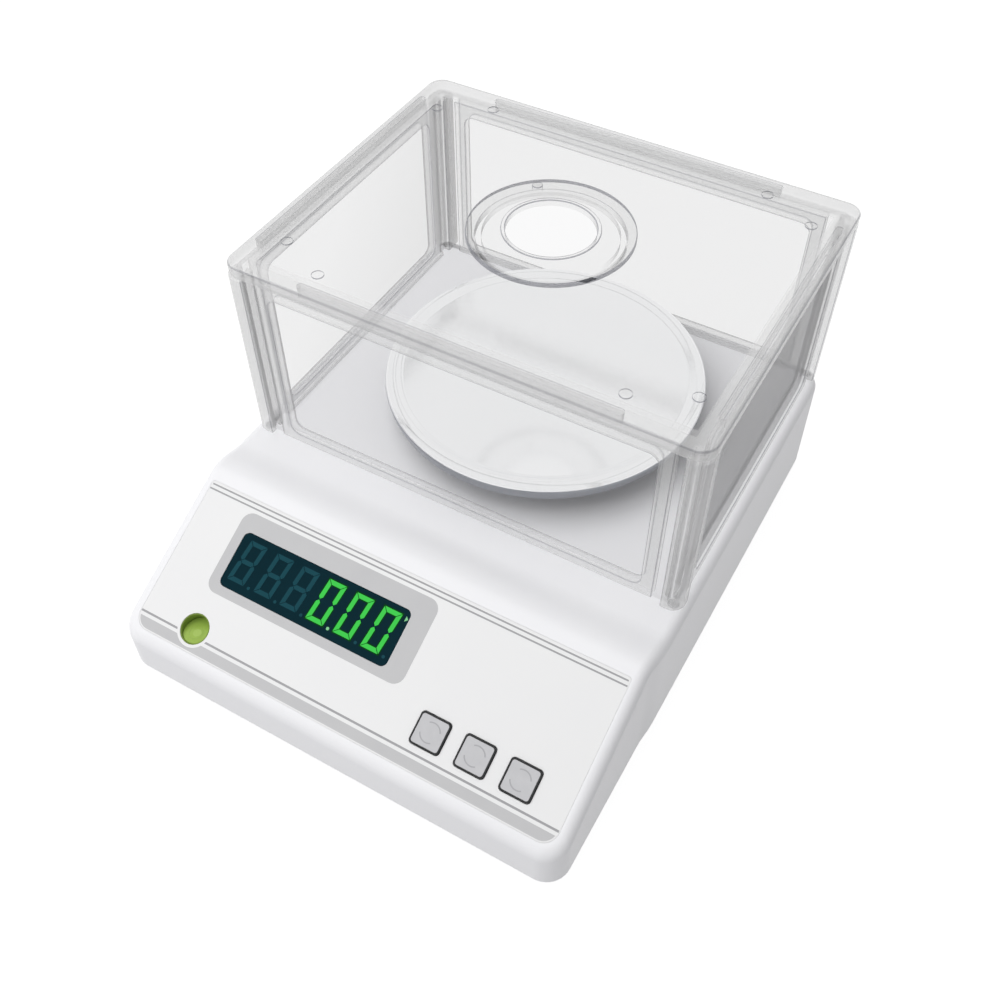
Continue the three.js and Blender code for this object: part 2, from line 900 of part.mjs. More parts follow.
function tactSwitch(x) {
  const top = switchTop - board.plungerRise;
  const size = board.switchSize;
  const body = box(size, size, top - boardTop - fit.seat, x, -keysS, boardTop + fit.seat);
  const rise = switchTop - top + fit.weld;
  const plunger = disc(board.plungerRadius, rise, x, -keysS, top - fit.weld, sides.small);
  return onDeck(join(body, plunger));
}

function key(x) {
  const capHeight = keypad.proud - keyFlangeTop + fit.weld;
  const capFoot = keyFlangeTop - fit.weld;
  const cap = roundedSlab(keypad.size, keypad.size, capHeight, keypad.radius, x, -keysS, capFoot);
  const flangeSide = keypad.size + 2 * keypad.flange;
  const flange = roundedSlab(
    flangeSide,
    flangeSide,
    keypad.flangeThickness,
    keypad.radius,
    x,
    -keysS,
    keyFlangeTop - keypad.flangeThickness,
  );
  const stem = disc(keypad.stem / 2, keypad.stemLength + fit.weld, x, -keysS, keyStemFoot, sides.small);
  return onDeck(join(cap, flange, stem));
}

function levelCup() {
  const outside = disc(level.radius, level.cupDepth, levelX, -levelS, -level.cupDepth, sides.large);
  const inside = disc(
    level.radius - level.cupWall,
    level.cupDepth + fit.overrun,
    levelX,
    -levelS,
    -level.cupDepth + level.cupWall,
    sides.large,
  );
  return onDeck(cut(outside, inside));
}

// The vial stands square in its cup, but its lens is level with the bench
function levelVial() {
  const radius = level.radius - level.cupWall - fit.side;
  const bottom = -level.cupDepth + level.cupWall + fit.seat;
  const body = onDeck(disc(radius, -bottom, levelX, -levelS, bottom, sides.large));
  const nearest = new THREE.Vector3(levelX, -levelS - radius, -level.rimDrop);
  nearest.applyMatrix4(deckFrame.matrix);
  const reach = 2 * (level.cupDepth + level.radius);
  return cut(body, box(reach, reach, reach, levelX, nearest.y, nearest.z));
}

// Base tray

function bayCuts() {
  const bayWidth = battery.width + 2 * fit.side;
  const bayLength = battery.length + 2 * fit.side;
  const slideY = battery.y + battery.doorTravel / 2;
  const mouth = box(
    bayWidth,
    bayLength + battery.doorTravel,
    base.plate + 2 * fit.overrun,
    batteryX,
    slideY,
    baseZ - fit.overrun,
  );
  const groove = box(
    bayWidth + 2 * battery.shelf,
    bayLength + battery.doorTravel,
    base.plate - battery.lip,
    batteryX,
    slideY,
    baseZ + battery.lip,
  );
  return join(mouth, groove);
}

function bayWalls() {
  const thick = battery.shelf + battery.bayWall;
  const bayWidth = battery.width + 2 * fit.side;
  const bayLength = battery.length + 2 * fit.side;
  const outside = box(
    bayWidth + 2 * thick,
    bayLength + 2 * thick,
    battery.bayHeight,
    batteryX,
    battery.y,
    baseTopZ,
  );
  const inside = box(
    bayWidth,
    bayLength,
    battery.bayHeight + 2 * fit.overrun,
    batteryX,
    battery.y,
    baseTopZ - fit.overrun,
  );
  const root = fit.weld;
  const frame = cut(outside, inside);
  const sides = [-1, 1].map((side) => box(
    battery.bayWall,
    bayLength + 2 * thick,
    root + fit.weld,
    batteryX + side * (bayWidth / 2 + thick - battery.bayWall / 2),
    battery.y,
    baseTopZ - root,
  ));
  return join(frame, ...sides);
}

function lowerCase() {
  const inset = shell.wall + fit.side;
  const radius = shell.cornerRadius - inset;
  const width = caseWidth - 2 * inset;
  const depth = caseDepth - 2 * inset;
  const tray = cut(
    roundedSlab(width, depth, base.plate + base.lip, radius, 0, 0, baseZ),
    roundedSlab(
      width - 2 * base.lipWall,
      depth - 2 * base.lipWall,
      base.lip + fit.overrun,
      radius - base.lipWall,
      0,
      0,
      baseTopZ,
    ),
  );
  const low = baseTopZ - fit.weld;
  const sleeves = footPlaces.map(([x, y]) => (
    disc(foot.sleeveRadius, foot.sleeveHeight + fit.weld, x, y, low)
  ));
  const seats = bossPlaces.map(([x, y]) => (
    disc(bossSize.seatRadius, bossSize.seatRise + fit.weld, x, y, low)
  ));
  const plinthY = cellRearY - cell.footLength / 2;
  const plinth = box(cell.width, cell.footLength, cell.plinth + fit.weld, 0, plinthY, low);
  const stopHeight = cellZ - cell.stopGap - low;
  const stop = disc(cell.stopRadius, stopHeight, 0, cellFrontY + cell.screwEdge, low);
  const standoffs = mainStandoffs.map(([x, y]) => (
    disc(board.standoffRadius, board.mainRise + fit.weld, x, y, low, sides.small)
  ));
  const tower = join(tray, ...sleeves, ...seats, plinth, stop, ...standoffs);
  const body = join(cut(tower, bayCuts()), bayWalls());
  const footHoles = footPlaces.map(([x, y]) => disc(
    foot.studRadius + fit.side,
    base.plate + foot.sleeveHeight + 2 * fit.overrun,
    x,
    y,
    baseZ - fit.overrun,
    sides.small,
  ));
  const under = baseZ - fit.overrun;
  const screwRoom = (headRadius, headHeight, shankRadius, depth, x, y) => join(
    disc(headRadius + fit.side, headHeight + fit.seat + fit.overrun, x, y, under, sides.small),
    disc(shankRadius + fit.side, depth + 2 * fit.overrun, x, y, under, sides.tiny),
  );
  const seatDepth = base.plate + bossSize.seatRise;
  const headRooms = bossPlaces.map(([x, y]) => (
    screwRoom(bossSize.headRadius, bossSize.headHeight, bossSize.pilot, seatDepth, x, y)
  ));
  const plinthDepth = base.plate + cell.plinth;
  const cellRooms = cellScrewYs(cellRearY, -1).map((y) => (
    screwRoom(cell.screwHead, cell.screwHeadHeight, cell.screwRadius, plinthDepth, 0, y)
  ));
  const standoffHoles = mainStandoffs.map(([x, y]) => disc(
    board.screwRadius + fit.side,
    board.screwGrip + fit.overrun,
    x,
    y,
    baseTopZ + board.mainRise - board.screwGrip,
    sides.tiny,
  ));
  return cut(body, ...footHoles, ...headRooms, ...cellRooms, ...standoffHoles);
}

function caseScrew([x, y]) {
  const length = baseTopZ + bossSize.seatRise + bossSize.gripLength - baseZ - bossSize.headHeight;
  return screw(bossSize.pilot, bossSize.headRadius, bossSize.headHeight, length, x, y, baseZ);
}

function batteryBlock() {
  return roundedSlab(
    battery.width,
    battery.length,
    battery.height,
    battery.cornerRadius,
    batteryX,
    battery.y,
    baseTopZ,
  );
}

function batteryDoor() {
  const leaf = box(battery.width, battery.length, base.plate - fit.seat, batteryX, battery.y, baseZ);
  const tongueTop = baseTopZ - fit.seat;
  const tongueFoot = baseZ + battery.lip + fit.seat;
  const tongue = box(
    battery.width + 2 * battery.shelf - fit.side,
    battery.length,
    tongueTop - tongueFoot,
    batteryX,
    battery.y,
    tongueFoot,
  );
  return join(leaf, tongue);
}

function mainBoard() {
  const bottom = baseTopZ + board.mainRise + fit.seat;
  const sheet = box(board.mainWidth, board.mainDepth, board.thickness, mainX, board.mainY, bottom);
  const holes = mainStandoffs.map(([x, y]) => disc(
    board.screwRadius + fit.side,
    board.thickness + 2 * fit.overrun,
    x,
    y,
    bottom - fit.overrun,
    sides.tiny,
  ));
  return cut(sheet, ...holes);
}

function mainBoardScrew([x, y]) {
  const under = baseTopZ + board.mainRise + board.thickness + 2 * fit.seat;
  const length = board.thickness + board.screwGrip;
  const upright = screw(board.screwRadius, board.screwHead, board.screwHeadHeight, length, 0, 0, 0);
  const turn = new THREE.Matrix4().makeRotationX(Math.PI);
  turn.setPosition(x, y, under + board.screwHeadHeight);
  return upright.transform(turn.elements);
}

// Rear wall

function switchFrame() {
  const width = rear.rockerWidth + 2 * (rear.frameWall + fit.side);
  const height = rear.rockerHeight + 2 * (rear.frameWall + fit.side);
  const flange = box(
    width + 2 * rear.frameEdge,
    rear.frameFlange,
    height + 2 * rear.frameEdge,
    rockerX,
    rearY - rear.frameFlange / 2,
    rearZ - height / 2 - rear.frameEdge,
  );
  const bodyY = rearY - rear.frameDepth / 2;
  const body = box(width, rear.frameDepth, height, rockerX, bodyY, rearZ - height / 2);
  const room = box(
    rear.rockerWidth + 2 * fit.side,
    rear.frameDepth - rear.frameWall + fit.overrun,
    rear.rockerHeight + 2 * fit.side,
    rockerX,
    rearY + (fit.overrun - rear.frameDepth + rear.frameWall) / 2,
    rearZ - rear.rockerHeight / 2 - fit.side,
  );
  return cut(join(flange, body), room);
}

// The rocker is drawn with both halves alike, then tipped to the side it rests on
function powerRocker() {
  const half = rear.rockerWidth / 2;
  const foot0 = half - rear.rockerTaper;
  const shape = new THREE.Shape();
  shape.moveTo(-half, 0);
  shape.lineTo(-foot0, -rear.rockerDepth);
  shape.lineTo(foot0, -rear.rockerDepth);
  shape.lineTo(half, 0);
  shape.lineTo(0, -rear.rockerDip);
  shape.closePath();
  const solid = slab(shape, rear.rockerHeight, 0, 0, -rear.rockerHeight / 2);
  const turn = new THREE.Matrix4().makeRotationZ(radians(-rear.rockerTip));
  turn.setPosition(rockerX, rearY - rear.rockerDip - fit.side, rearZ);
  return solid.transform(turn.elements);
}

function dcJack() {
  const body = box(
    rear.jackBody,
    rear.jackDepth,
    rear.jackBody,
    jackX,
    rearY - shell.wall - fit.seat - rear.jackDepth / 2,
    rearZ - rear.jackBody / 2,
  );
  const noseLength = shell.wall + fit.seat + fit.weld;
  const along = (radius, length, endY) => {
    const geometry = new THREE.CylinderGeometry(radius, radius, length, sides.middle);
    return toSolid(geometry.translate(jackX, endY - length / 2, rearZ));
  };
  const bored = cut(
    join(body, along(rear.jackRadius, noseLength, rearY)),
    along(rear.jackBore, rear.jackBoreDepth + fit.overrun, rearY + fit.overrun),
  );
  return join(bored, along(rear.jackPin, rear.jackBoreDepth - fit.overrun + fit.weld, rearY - fit.overrun));
}

// Feet

function footPad([x, y]) {
  return cut(
    disc(foot.padRadius, foot.padThickness, x, y, 0, sides.large),
    disc(foot.spigotRadius + fit.side, foot.padThickness, x, y, foot.padFloor),
  );
}

function footScrew([x, y]) {
  const steps = foot.lobes * foot.lobeSteps;
  const outline = Array.from({ length: steps }, (_, i) => {
    const a = (2 * Math.PI * i) / steps;
    const r = foot.wheelRadius - (foot.lobeDepth * (1 + Math.cos(foot.lobes * a))) / 2;
    return new THREE.Vector2(r * Math.cos(a), r * Math.sin(a));
  });
  const wheel = slab(new THREE.Shape(outline), foot.wheelThickness, x, y, wheelZ);
  const spigotFoot = foot.padFloor + fit.seat;
  const lower = disc(foot.spigotRadius, wheelZ - spigotFoot + fit.weld, x, y, spigotFoot, sides.small);
  const top = wheelZ + foot.wheelThickness;
  const stud = disc(foot.studRadius, foot.studLength + fit.weld, x, y, top - fit.weld, sides.small);
  return join(wheel, lower, stud);
}

// Load cell, bracket, support and pan

function cellScrewYs(endY, inward) {
  return [cell.screwEdge, cell.screwEdge + cell.screwPitch].map((reach) => endY + inward * reach);
}

function loadCell() {
  const bar = box(cell.width, cellLength, cell.height, 0, shieldY, cellZ);
  const middleZ = cellZ + cell.height / 2;
  const across = cell.width + 2 * fit.overrun;
  const bores = [-1, 1].map((side) => toSolid(
    new THREE.CylinderGeometry(cell.boreRadius, cell.boreRadius, across, sides.middle)
      .rotateZ(Math.PI / 2)
      .translate(0, shieldY + (side * cell.borePitch) / 2, middleZ),
  ));
  const slot = box(across, cell.borePitch, cell.webSlot, 0, shieldY, middleZ - cell.webSlot / 2);
  const depth = cell.screwGrip + 2 * fit.overrun;
  const lower = cellScrewYs(cellRearY, -1).map((y) => (
    disc(cell.screwRadius + fit.side, depth, 0, y, cellZ - fit.overrun, sides.tiny)
  ));
  const upper = cellScrewYs(cellFrontY, 1).map((y) => (
    disc(cell.screwRadius + fit.side, depth, 0, y, cellTopZ + fit.overrun - depth, sides.tiny)
  ));
  return cut(bar, ...bores, slot, ...lower, ...upper);
}

function cellSpacer() {
  const bottom = baseTopZ + cell.plinth + fit.seat;
  const plate = box(cell.width, cell.footLength, cell.spacer, 0, cellRearY - cell.footLength / 2, bottom);
  const holes = cellScrewYs(cellRearY, -1).map((y) => (
    disc(cell.screwRadius + fit.side, cell.spacer + 2 * fit.overrun, 0, y, bottom - fit.overrun, sides.tiny)
  ));
  return cut(plate, ...holes);
}

function cellScrew(y) {
  const length = cellZ + cell.screwGrip - baseZ - cell.screwHeadHeight;
  return screw(cell.screwRadius, cell.screwHead, cell.screwHeadHeight, length, 0, y, baseZ);
}

function bracketScrew(y) {
  const length = bracketTopZ - cellTopZ + cell.screwGrip;
  const upright = screw(cell.screwRadius, cell.screwHead, cell.screwHeadHeight, length, 0, 0, 0);
  const turn = new THREE.Matrix4().makeRotationX(Math.PI);
  turn.setPosition(0, y, bracketTopZ + fit.seat + cell.screwHeadHeight);
  return upright.transform(turn.elements);
}

function cellBracket() {
  const footZ = cellTopZ + fit.seat;
  const length = shieldY + spigot.baseRadius - cellFrontY;
  const plateZ = footZ + cell.bracketFoot;
  const plate = box(cell.width, length, cell.bracketPlate, 0, cellFrontY + length / 2, plateZ);
  const foot0 = box(
    cell.width,
    cell.footLength,
    cell.bracketFoot + fit.weld,
    0,
    cellFrontY + cell.footLength / 2,
    footZ,
  );
  const shoulderZ = sleeveFootZ - fit.seat;
  const stalkHeight = shoulderZ - bracketTopZ + fit.weld;
  const stalk = disc(spigot.baseRadius, stalkHeight, 0, shieldY, bracketTopZ - fit.weld);
  const pinTop = armTopZ - support.armThickness / 2;
  const pin = disc(spigot.radius, pinTop - shoulderZ + fit.weld, 0, shieldY, shoulderZ - fit.weld);
  const holes = cellScrewYs(cellFrontY, 1).map((y) => disc(
    cell.screwRadius + fit.side,
    bracketTopZ - footZ + 2 * fit.overrun,
    0,
    y,
    footZ - fit.overrun,
    sides.tiny,
  ));
  return cut(join(plate, foot0, stalk, pin), ...holes);
}

const padAngles = [0, 1, 2, 3].map((i) => Math.PI / 4 + (Math.PI / 2) * i);

function padMiddle(angle) {
  return [padReach * Math.cos(angle), shieldY + padReach * Math.sin(angle)];
}

function panSupport() {
  const armZ = armTopZ - support.armThickness;
  const armReach = panRadius - support.armInset;
  const arms = [Math.PI / 4, -Math.PI / 4].map((angle) => toSolid(
    new THREE.ExtrudeGeometry(
      roundedRectangle(2 * armReach, support.armWidth, support.armWidth / 2),
      { depth: support.armThickness, bevelEnabled: false, curveSegments: bends.arm },
    ).rotateZ(angle).translate(0, shieldY, armZ),
  ));
  const hub = disc(support.hubRadius, support.armThickness, 0, shieldY, armZ, sides.large);
  const sleeve = disc(support.sleeveRadius, armZ - sleeveFootZ + fit.weld, 0, shieldY, sleeveFootZ);
  const socketTop = armTopZ - support.armThickness / 2 + fit.seat;
  const socketDepth = socketTop - sleeveFootZ + fit.overrun;
  const socket = disc(spigot.radius + fit.side, socketDepth, 0, shieldY, sleeveFootZ - fit.overrun);
  const pockets = padAngles.map((angle) => disc(
    support.padRadius + fit.side,
    support.padSink + fit.overrun,
    ...padMiddle(angle),
    armTopZ - support.padSink,
    sides.middle,
  ));
  return cut(join(...arms, hub, sleeve), socket, ...pockets);
}

function supportPad(angle) {
  const bottom = armTopZ - support.padSink + fit.seat;
  return disc(support.padRadius, armTopZ + support.padRise - bottom, ...padMiddle(angle), bottom);
}

function pan() {
  const crestR = panRadius - panSize.rimRadius;
  const floorR = panRadius - panSize.rimWidth;
  const rimStart = (offset) => {
    return Array.from({ length: bends.panRim + 1 }, (_, i) => {
      const share = i / bends.panRim;
      const lift = (1 - Math.cos(Math.PI * share)) / 2;
      return [floorR + (crestR - floorR) * share, panTopZ - offset - panSize.dish * (1 - lift)];
    });
  };
  const rimArc = (offset) => {
    const radius = panSize.rimRadius - offset;
    return Array.from({ length: bends.panRim }, (_, i) => {
      const a = Math.PI / 2 - (Math.PI / 2) * ((i + 1) / bends.panRim);
      return [crestR + radius * Math.cos(a), panTopZ - panSize.rimRadius + radius * Math.sin(a)];
    });
  };
  const footZ = panTopZ - panSize.rimHeight;
  const upper = [...rimStart(0), ...rimArc(0), [panRadius, footZ]];
  const inside = panRadius - panSize.sheet;
  const lower = [...rimStart(panSize.sheet), ...rimArc(panSize.sheet), [inside, footZ]];
  const outline = [[0, panTopZ - panSize.dish], ...upper, ...lower.reverse(), [0, panFloorZ]];
  return turned(outline.reverse(), 0, shieldY, sides.pan);
}

// Wind shield

const frontSlot = shield.width - 2 * lid.frontSlotEdge;
const sideSlot = shield.depth - 2 * lid.sideSlotEdge;
const wallFootZ = platformZ + fit.seat;
const wallHeight = lidRimZ - fit.seat - wallFootZ;

function post([sideX, sideY]) {
  const size = shield.postSize;
  const radii = [[-1, -1], [1, -1], [1, 1], [-1, 1]].map(([x, y]) => (
    x === sideX && y === sideY ? shield.postRadius : shield.postSoft
  ));
  const [x, y] = postMiddle([sideX, sideY]);
  const column = slab(cornered(size, size, radii), wallHeight, x, y, wallFootZ);
  const width = shield.plate + 2 * fit.side;
  const deep = shield.tongueGroove + fit.overrun;
  const tall = wallHeight + 2 * fit.overrun;
  const inner = size / 2 - shield.tongueGroove + deep / 2;
  const middle = size / 2 - shield.panelInset;
  const grooveX = box(deep, width, tall, x - sideX * inner, y + sideY * middle, wallFootZ - fit.overrun);
  const grooveY = box(width, deep, tall, x + sideX * middle, y - sideY * inner, wallFootZ - fit.overrun);
  const pegFoot = platformZ - shield.pegLength;
  const peg = disc(shield.pegRadius, wallFootZ - pegFoot + fit.weld, x, y, pegFoot, sides.tiny);
  const grooved = cut(column, grooveX, grooveY);
  return join(grooved, peg);
}

// Panels are drawn along X with their outer face towards -Y, then turned to their side
function panel(span, slot, flange, angle) {
  const tongueIn = shield.postSize - shield.tongueGroove + fit.side;
  const borderIn = shield.postSize + shield.tongueReveal;
  const borderSpan = span - 2 * borderIn;
  const sheet = box(span - 2 * tongueIn, shield.plate, wallHeight, 0, 0, 0);
  const ring = roundedRectangle(borderSpan, wallHeight, shield.postSoft);
  const windowWidth = borderSpan - 2 * shield.borderWidth;
  const windowHeight = wallHeight - shield.borderTop - shield.borderFoot;
  const hole = roundedRectangle(windowWidth, windowHeight, shield.borderRadius);
  const lift = (shield.borderFoot - shield.borderTop) / 2;
  const holePoints = hole.getPoints(bends.window).map((p) => new THREE.Vector2(p.x, p.y + lift));
  ring.holes.push(new THREE.Path(holePoints));
  const border = toSolid(
    new THREE.ExtrudeGeometry(ring, {
      depth: shield.border,
      bevelEnabled: false,
      curveSegments: bends.border,
    })
      .rotateX(Math.PI / 2)
      .translate(0, shield.border / 2, wallHeight / 2),
  );
  const pieces = [sheet, border];
  if (flange > 0) {
    pieces.push(box(borderSpan, flange, shield.flangeHeight, 0, (flange - shield.border) / 2, 0));
  }
  const tabTop = lidTopZ - lid.tabDrop - wallFootZ;
  const tabFoot = wallHeight - fit.weld;
  const tab = box(slot - 2 * fit.side, shield.plate, tabTop - tabFoot, 0, 0, tabFoot);
  const solid = join(...pieces, tab);
  const across = angle % 180 === 0 ? shield.depth : shield.width;
  const turn = new THREE.Matrix4().makeRotationZ(radians(angle));
  const out = new THREE.Vector3(0, -(across / 2 - shield.panelInset), 0).applyMatrix4(turn);
  turn.setPosition(out.x, shieldY + out.y, wallFootZ);
  return solid.transform(turn.elements);
}

const slots = [
  [frontSlot, 0, -1],
  [frontSlot, 0, 1],
  [sideSlot, -1, 0],
  [sideSlot, 1, 0],
];

function lidSlot([length, sideX, sideY]) {
  const width = shield.plate + 2 * fit.side;
  const x = sideX * (shield.width / 2 - shield.panelInset);
  const y = shieldY + sideY * (shield.depth / 2 - shield.panelInset);
  const sizeX = sideX === 0 ? length : width;
  const sizeY = sideX === 0 ? width : length;
  const depth = lid.plate + 2 * fit.overrun;
  const radius = width * lid.slotEndShare;
  return roundedSlab(sizeX, sizeY, depth, radius, x, y, lidPlateZ - fit.overrun, bends.lidSlot);
}

function shieldLid() {
  const height = lid.plate + lid.rimDepth;
  const plate = softSlab(shield.width, shield.depth, height, lid.cornerRadius, lid.edge, 0, shieldY, lidRimZ);
  const room = roundedSlab(
    shield.width - 2 * lid.rimWidth,
    shield.depth - 2 * lid.rimWidth,
    lid.rimDepth + fit.overrun,
    lid.cornerRadius - lid.rimWidth,
    0,
    shieldY,
    lidRimZ - fit.overrun,
  );
  const openingDepth = lid.plate + 2 * fit.overrun;
  const openingFoot = lidPlateZ - fit.overrun;
  const opening = disc(port.openingRadius, openingDepth, 0, shieldY, openingFoot, sides.port);
  const pips = Object.values(postPlaces).flatMap(([sideX, sideY]) => [
    [sideX * (shield.width / 2 - lid.pipSide), shieldY + sideY * (shield.depth / 2 - lid.pipEnd)],
    [sideX * (shield.width / 2 - lid.pipInnerSide), shieldY + sideY * (shield.depth / 2 - lid.pipInnerEnd)],
  ]).map(([x, y]) => disc(lid.pipRadius, lid.pipHeight + fit.weld, x, y, lidTopZ - fit.weld, sides.small));
  return join(cut(plate, room, opening, ...slots.map(lidSlot)), ...pips);
}

function portCover() {
  const low = lidTopZ + fit.seat;
  const top = low + port.flangeThickness;
  const lipOut = port.openingRadius - fit.side;
  const lipIn = lipOut - port.lipWall;
  const soft = port.flangeThickness * port.edgeShare;
  const collarOut = port.holeRadius + port.collarWall;
  const outline = [
    [port.holeRadius, low],
    [lipIn, low],
    [lipIn, low - port.lipDepth],
    [lipOut, low - port.lipDepth],
    [lipOut, low],
    [port.flangeRadius, low],
    [port.flangeRadius, top - soft],
    [port.flangeRadius - soft, top],
    [collarOut, top],
    [collarOut, top + port.collarRise],
    [port.holeRadius, top + port.collarRise],
    [port.holeRadius, low],
  ];
  const ring = turned(outline, 0, shieldY, sides.port);
  const reach = (port.holeRadius + port.flangeRadius) / 2;
  const angle = radians(port.nubAngle);
  const nub = disc(
    port.nubRadius,
    port.nubHeight + fit.weld,
    reach * Math.cos(angle),
    shieldY + reach * Math.sin(angle),
    top - fit.weld,
    sides.small,
  );
  return join(ring, nub);
}

// The whole object

group.name = 'counting_scale';
place('upper_case', upperCase(), 'caseWhite');
place('lower_case', lowerCase(), 'greyPlastic');
place('deck_overlay', deckOverlay(), 'filmWhite');
place('display_window', displayWindow(), 'teal');
place('display_module', displayModule(), 'black');
place('deck_board', deckBoard(), 'boardGreen');
place('main_board', mainBoard(), 'boardGreen');
place('level_cup', levelCup(), 'greyPlastic');
place('level_vial', levelVial(), 'liquid');
place('dc_jack', dcJack(), 'black');
place('switch_frame', switchFrame(), 'black');
place('power_rocker', powerRocker(), 'black');
place('battery', batteryBlock(), 'greyPlastic');
place('battery_door', batteryDoor(), 'greyPlastic');
place('load_cell', loadCell(), 'aluminium');
place('cell_spacer', cellSpacer(), 'aluminium');
place('cell_bracket', cellBracket(), 'aluminium');
place('pan_support', panSupport(), 'greyPlastic');
place('pan', pan(), 'steel');
place('panel_front', panel(shield.width, frontSlot, 0, 0), 'clear');
place('panel_right', panel(shield.depth, sideSlot, shield.flange, 90), 'clear');
place('panel_back', panel(shield.width, frontSlot, 0, 180), 'clear');
place('panel_left', panel(shield.depth, sideSlot, shield.flange, 270), 'clear');
place('shield_lid', shieldLid(), 'clear');
place('port_cover', portCover(), 'clear');
Object.entries(postPlaces).forEach(([name, sides]) => place(`post_${name}`, post(sides), 'clear'));
keyXs.forEach((x, i) => {
  place(`key_${i + 1}`, key(x), 'keyGrey');
  place(`tact_switch_${i + 1}`, tactSwitch(x), 'black');
});
padAngles.forEach((angle, i) => place(`support_pad_${i + 1}`, supportPad(angle), 'rubber'));
bossPlaces.forEach((middle, i) => place(`case_screw_${i + 1}`, caseScrew(middle), 'steel'));
cellScrewYs(cellRearY, -1).forEach((y, i) => place(`cell_screw_${i + 1}`, cellScrew(y), 'steel'));
cellScrewYs(cellFrontY, 1).forEach((y, i) => place(`bracket_screw_${i + 1}`, bracketScrew(y), 'steel'));
standoffPlaces.forEach((middle, i) => place(`deck_board_screw_${i + 1}`, deckBoardScrew(middle), 'steel'));
const screwed = [mainStandoffs.at(0), mainStandoffs.at(-1)];
screwed.forEach((middle, i) => place(`main_board_screw_${i + 1}`, mainBoardScrew(middle), 'steel'));
footPlaces.forEach((middle, i) => {
  place(`foot_pad_${i + 1}`, footPad(middle), 'rubber');
  place(`foot_screw_${i + 1}`, footScrew(middle), 'greyPlastic');
});

export default group;
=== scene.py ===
"""Looks of a bench counting scale with a clear wind shield, built round the fixed frame of its solids.

Sizes are in millimetres until a piece is handed over, and in metres from there on.
"""

import logging
import math
from collections.abc import Callable, Iterable, Sequence
from dataclasses import dataclass
from enum import Enum
from itertools import product

import bmesh
import bpy
from bmesh.types import BMesh
from mathutils import Euler, Matrix, Vector


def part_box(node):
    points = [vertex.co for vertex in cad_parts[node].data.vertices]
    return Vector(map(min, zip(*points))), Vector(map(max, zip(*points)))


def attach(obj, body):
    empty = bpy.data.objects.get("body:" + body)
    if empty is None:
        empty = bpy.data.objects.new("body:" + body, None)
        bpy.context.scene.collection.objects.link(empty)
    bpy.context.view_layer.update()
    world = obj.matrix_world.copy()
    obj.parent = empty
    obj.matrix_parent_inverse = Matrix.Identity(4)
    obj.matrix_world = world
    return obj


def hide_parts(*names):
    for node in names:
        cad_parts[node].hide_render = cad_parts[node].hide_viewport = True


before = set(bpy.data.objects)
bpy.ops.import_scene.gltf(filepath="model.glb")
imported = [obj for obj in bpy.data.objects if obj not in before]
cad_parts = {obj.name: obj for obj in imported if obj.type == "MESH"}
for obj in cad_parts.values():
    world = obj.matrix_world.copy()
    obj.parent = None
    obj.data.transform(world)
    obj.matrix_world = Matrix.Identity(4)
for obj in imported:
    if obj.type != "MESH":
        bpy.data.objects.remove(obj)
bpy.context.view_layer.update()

MM = 0.001
# How far a cutter stands out of what it cuts, how far past a line a face is on its other side, how close to
# a line a corner is on it, and how close two points are one, all in millimetres
OVERRUN = 1.0
SMALL = 0.05
CLOSE = 1e-3
SAME = 1e-4
# A face whose normal has less than this along an axis stands as a wall beside it
WALL = 0.5
# Play round what sits in an opening, and room under what rests on a seat, in millimetres
ROOM = 0.35
SEAT = 0.3
# A figure's strokes, by their usual letters
ZERO = "abcdef"
EIGHT = "abcdefg"
LOG = logging.getLogger("counting_scale")

Point = tuple[float, float]
Place = tuple[float, float, float]
Colour = tuple[float, float, float, float]


class Solid(Enum):
    """How two solids are combined."""

    JOIN = "UNION"
    CUT = "DIFFERENCE"


class Corner(Enum):
    """The shield's four corners, as the signs of x and y seen from above."""

    front_left = (-1, -1)
    front_right = (1, -1)
    back_left = (-1, 1)
    back_right = (1, 1)


class Side(Enum):
    """The shield's four sides, as the turn in degrees from the front."""

    front = 0
    right = 90
    back = 180
    left = 270


# Finishes


def linear(code: str) -> Colour:
    """Turns an sRGB hex code to a linear colour.

    Args:
        code: the colour as #RRGGBB.

    Returns:
        Linear red, green and blue, with an alpha of 1.
    """
    parts = []
    for start in (1, 3, 5):
        value = int(code[start:start + 2], 16) / 255
        parts.append(value / 12.92 if value <= 0.04045 else ((value + 0.055) / 1.055) ** 2.4)
    return (parts[0], parts[1], parts[2], 1.0)


def add_node(
    tree: bpy.types.NodeTree, kind: str, inputs: dict[str | int, object] | None = None, **settings: object
) -> bpy.types.Node:
    """Adds a node with its settings, values and links.

    Args:
        tree: the node tree that takes the node.
        kind: the node's type name.
        inputs: for each input, a value or the socket that feeds it.
        settings: the node's own properties.

    Returns:
        The new node.
    """
    node = tree.nodes.new(kind)
    for name, value in settings.items():
        setattr(node, name, value)
    for name, value in (inputs or {}).items():
        if isinstance(value, bpy.types.NodeSocket):
            tree.links.new(value, node.inputs[name])
        else:
            node.inputs[name].default_value = value
    return node


def emptied(owner: bpy.types.Material | bpy.types.World) -> bpy.types.NodeTree:
    """Gives the node tree of a material or a world, with no node in it.

    Args:
        owner: the material or the world.

    Returns:
        The tree.
    """
    owner.use_nodes = True
    owner.node_tree.nodes.clear()
    return owner.node_tree


def noise(
    tree: bpy.types.NodeTree, place: bpy.types.NodeSocket, size_mm: float, detail: float
) -> bpy.types.NodeSocket:
    """Adds a cloudy pattern.

    Args:
        tree: the node tree that takes it.
        place: its coordinates, in metres.
        size_mm: size of its patches.
        detail: how many finer layers it has.

    Returns:
        The socket with its value from 0 to 1.
    """
    inputs = {"Vector": place, "Scale": 1 / (size_mm * MM), "Detail": detail}
    return add_node(tree, "ShaderNodeTexNoise", inputs).outputs["Fac"]


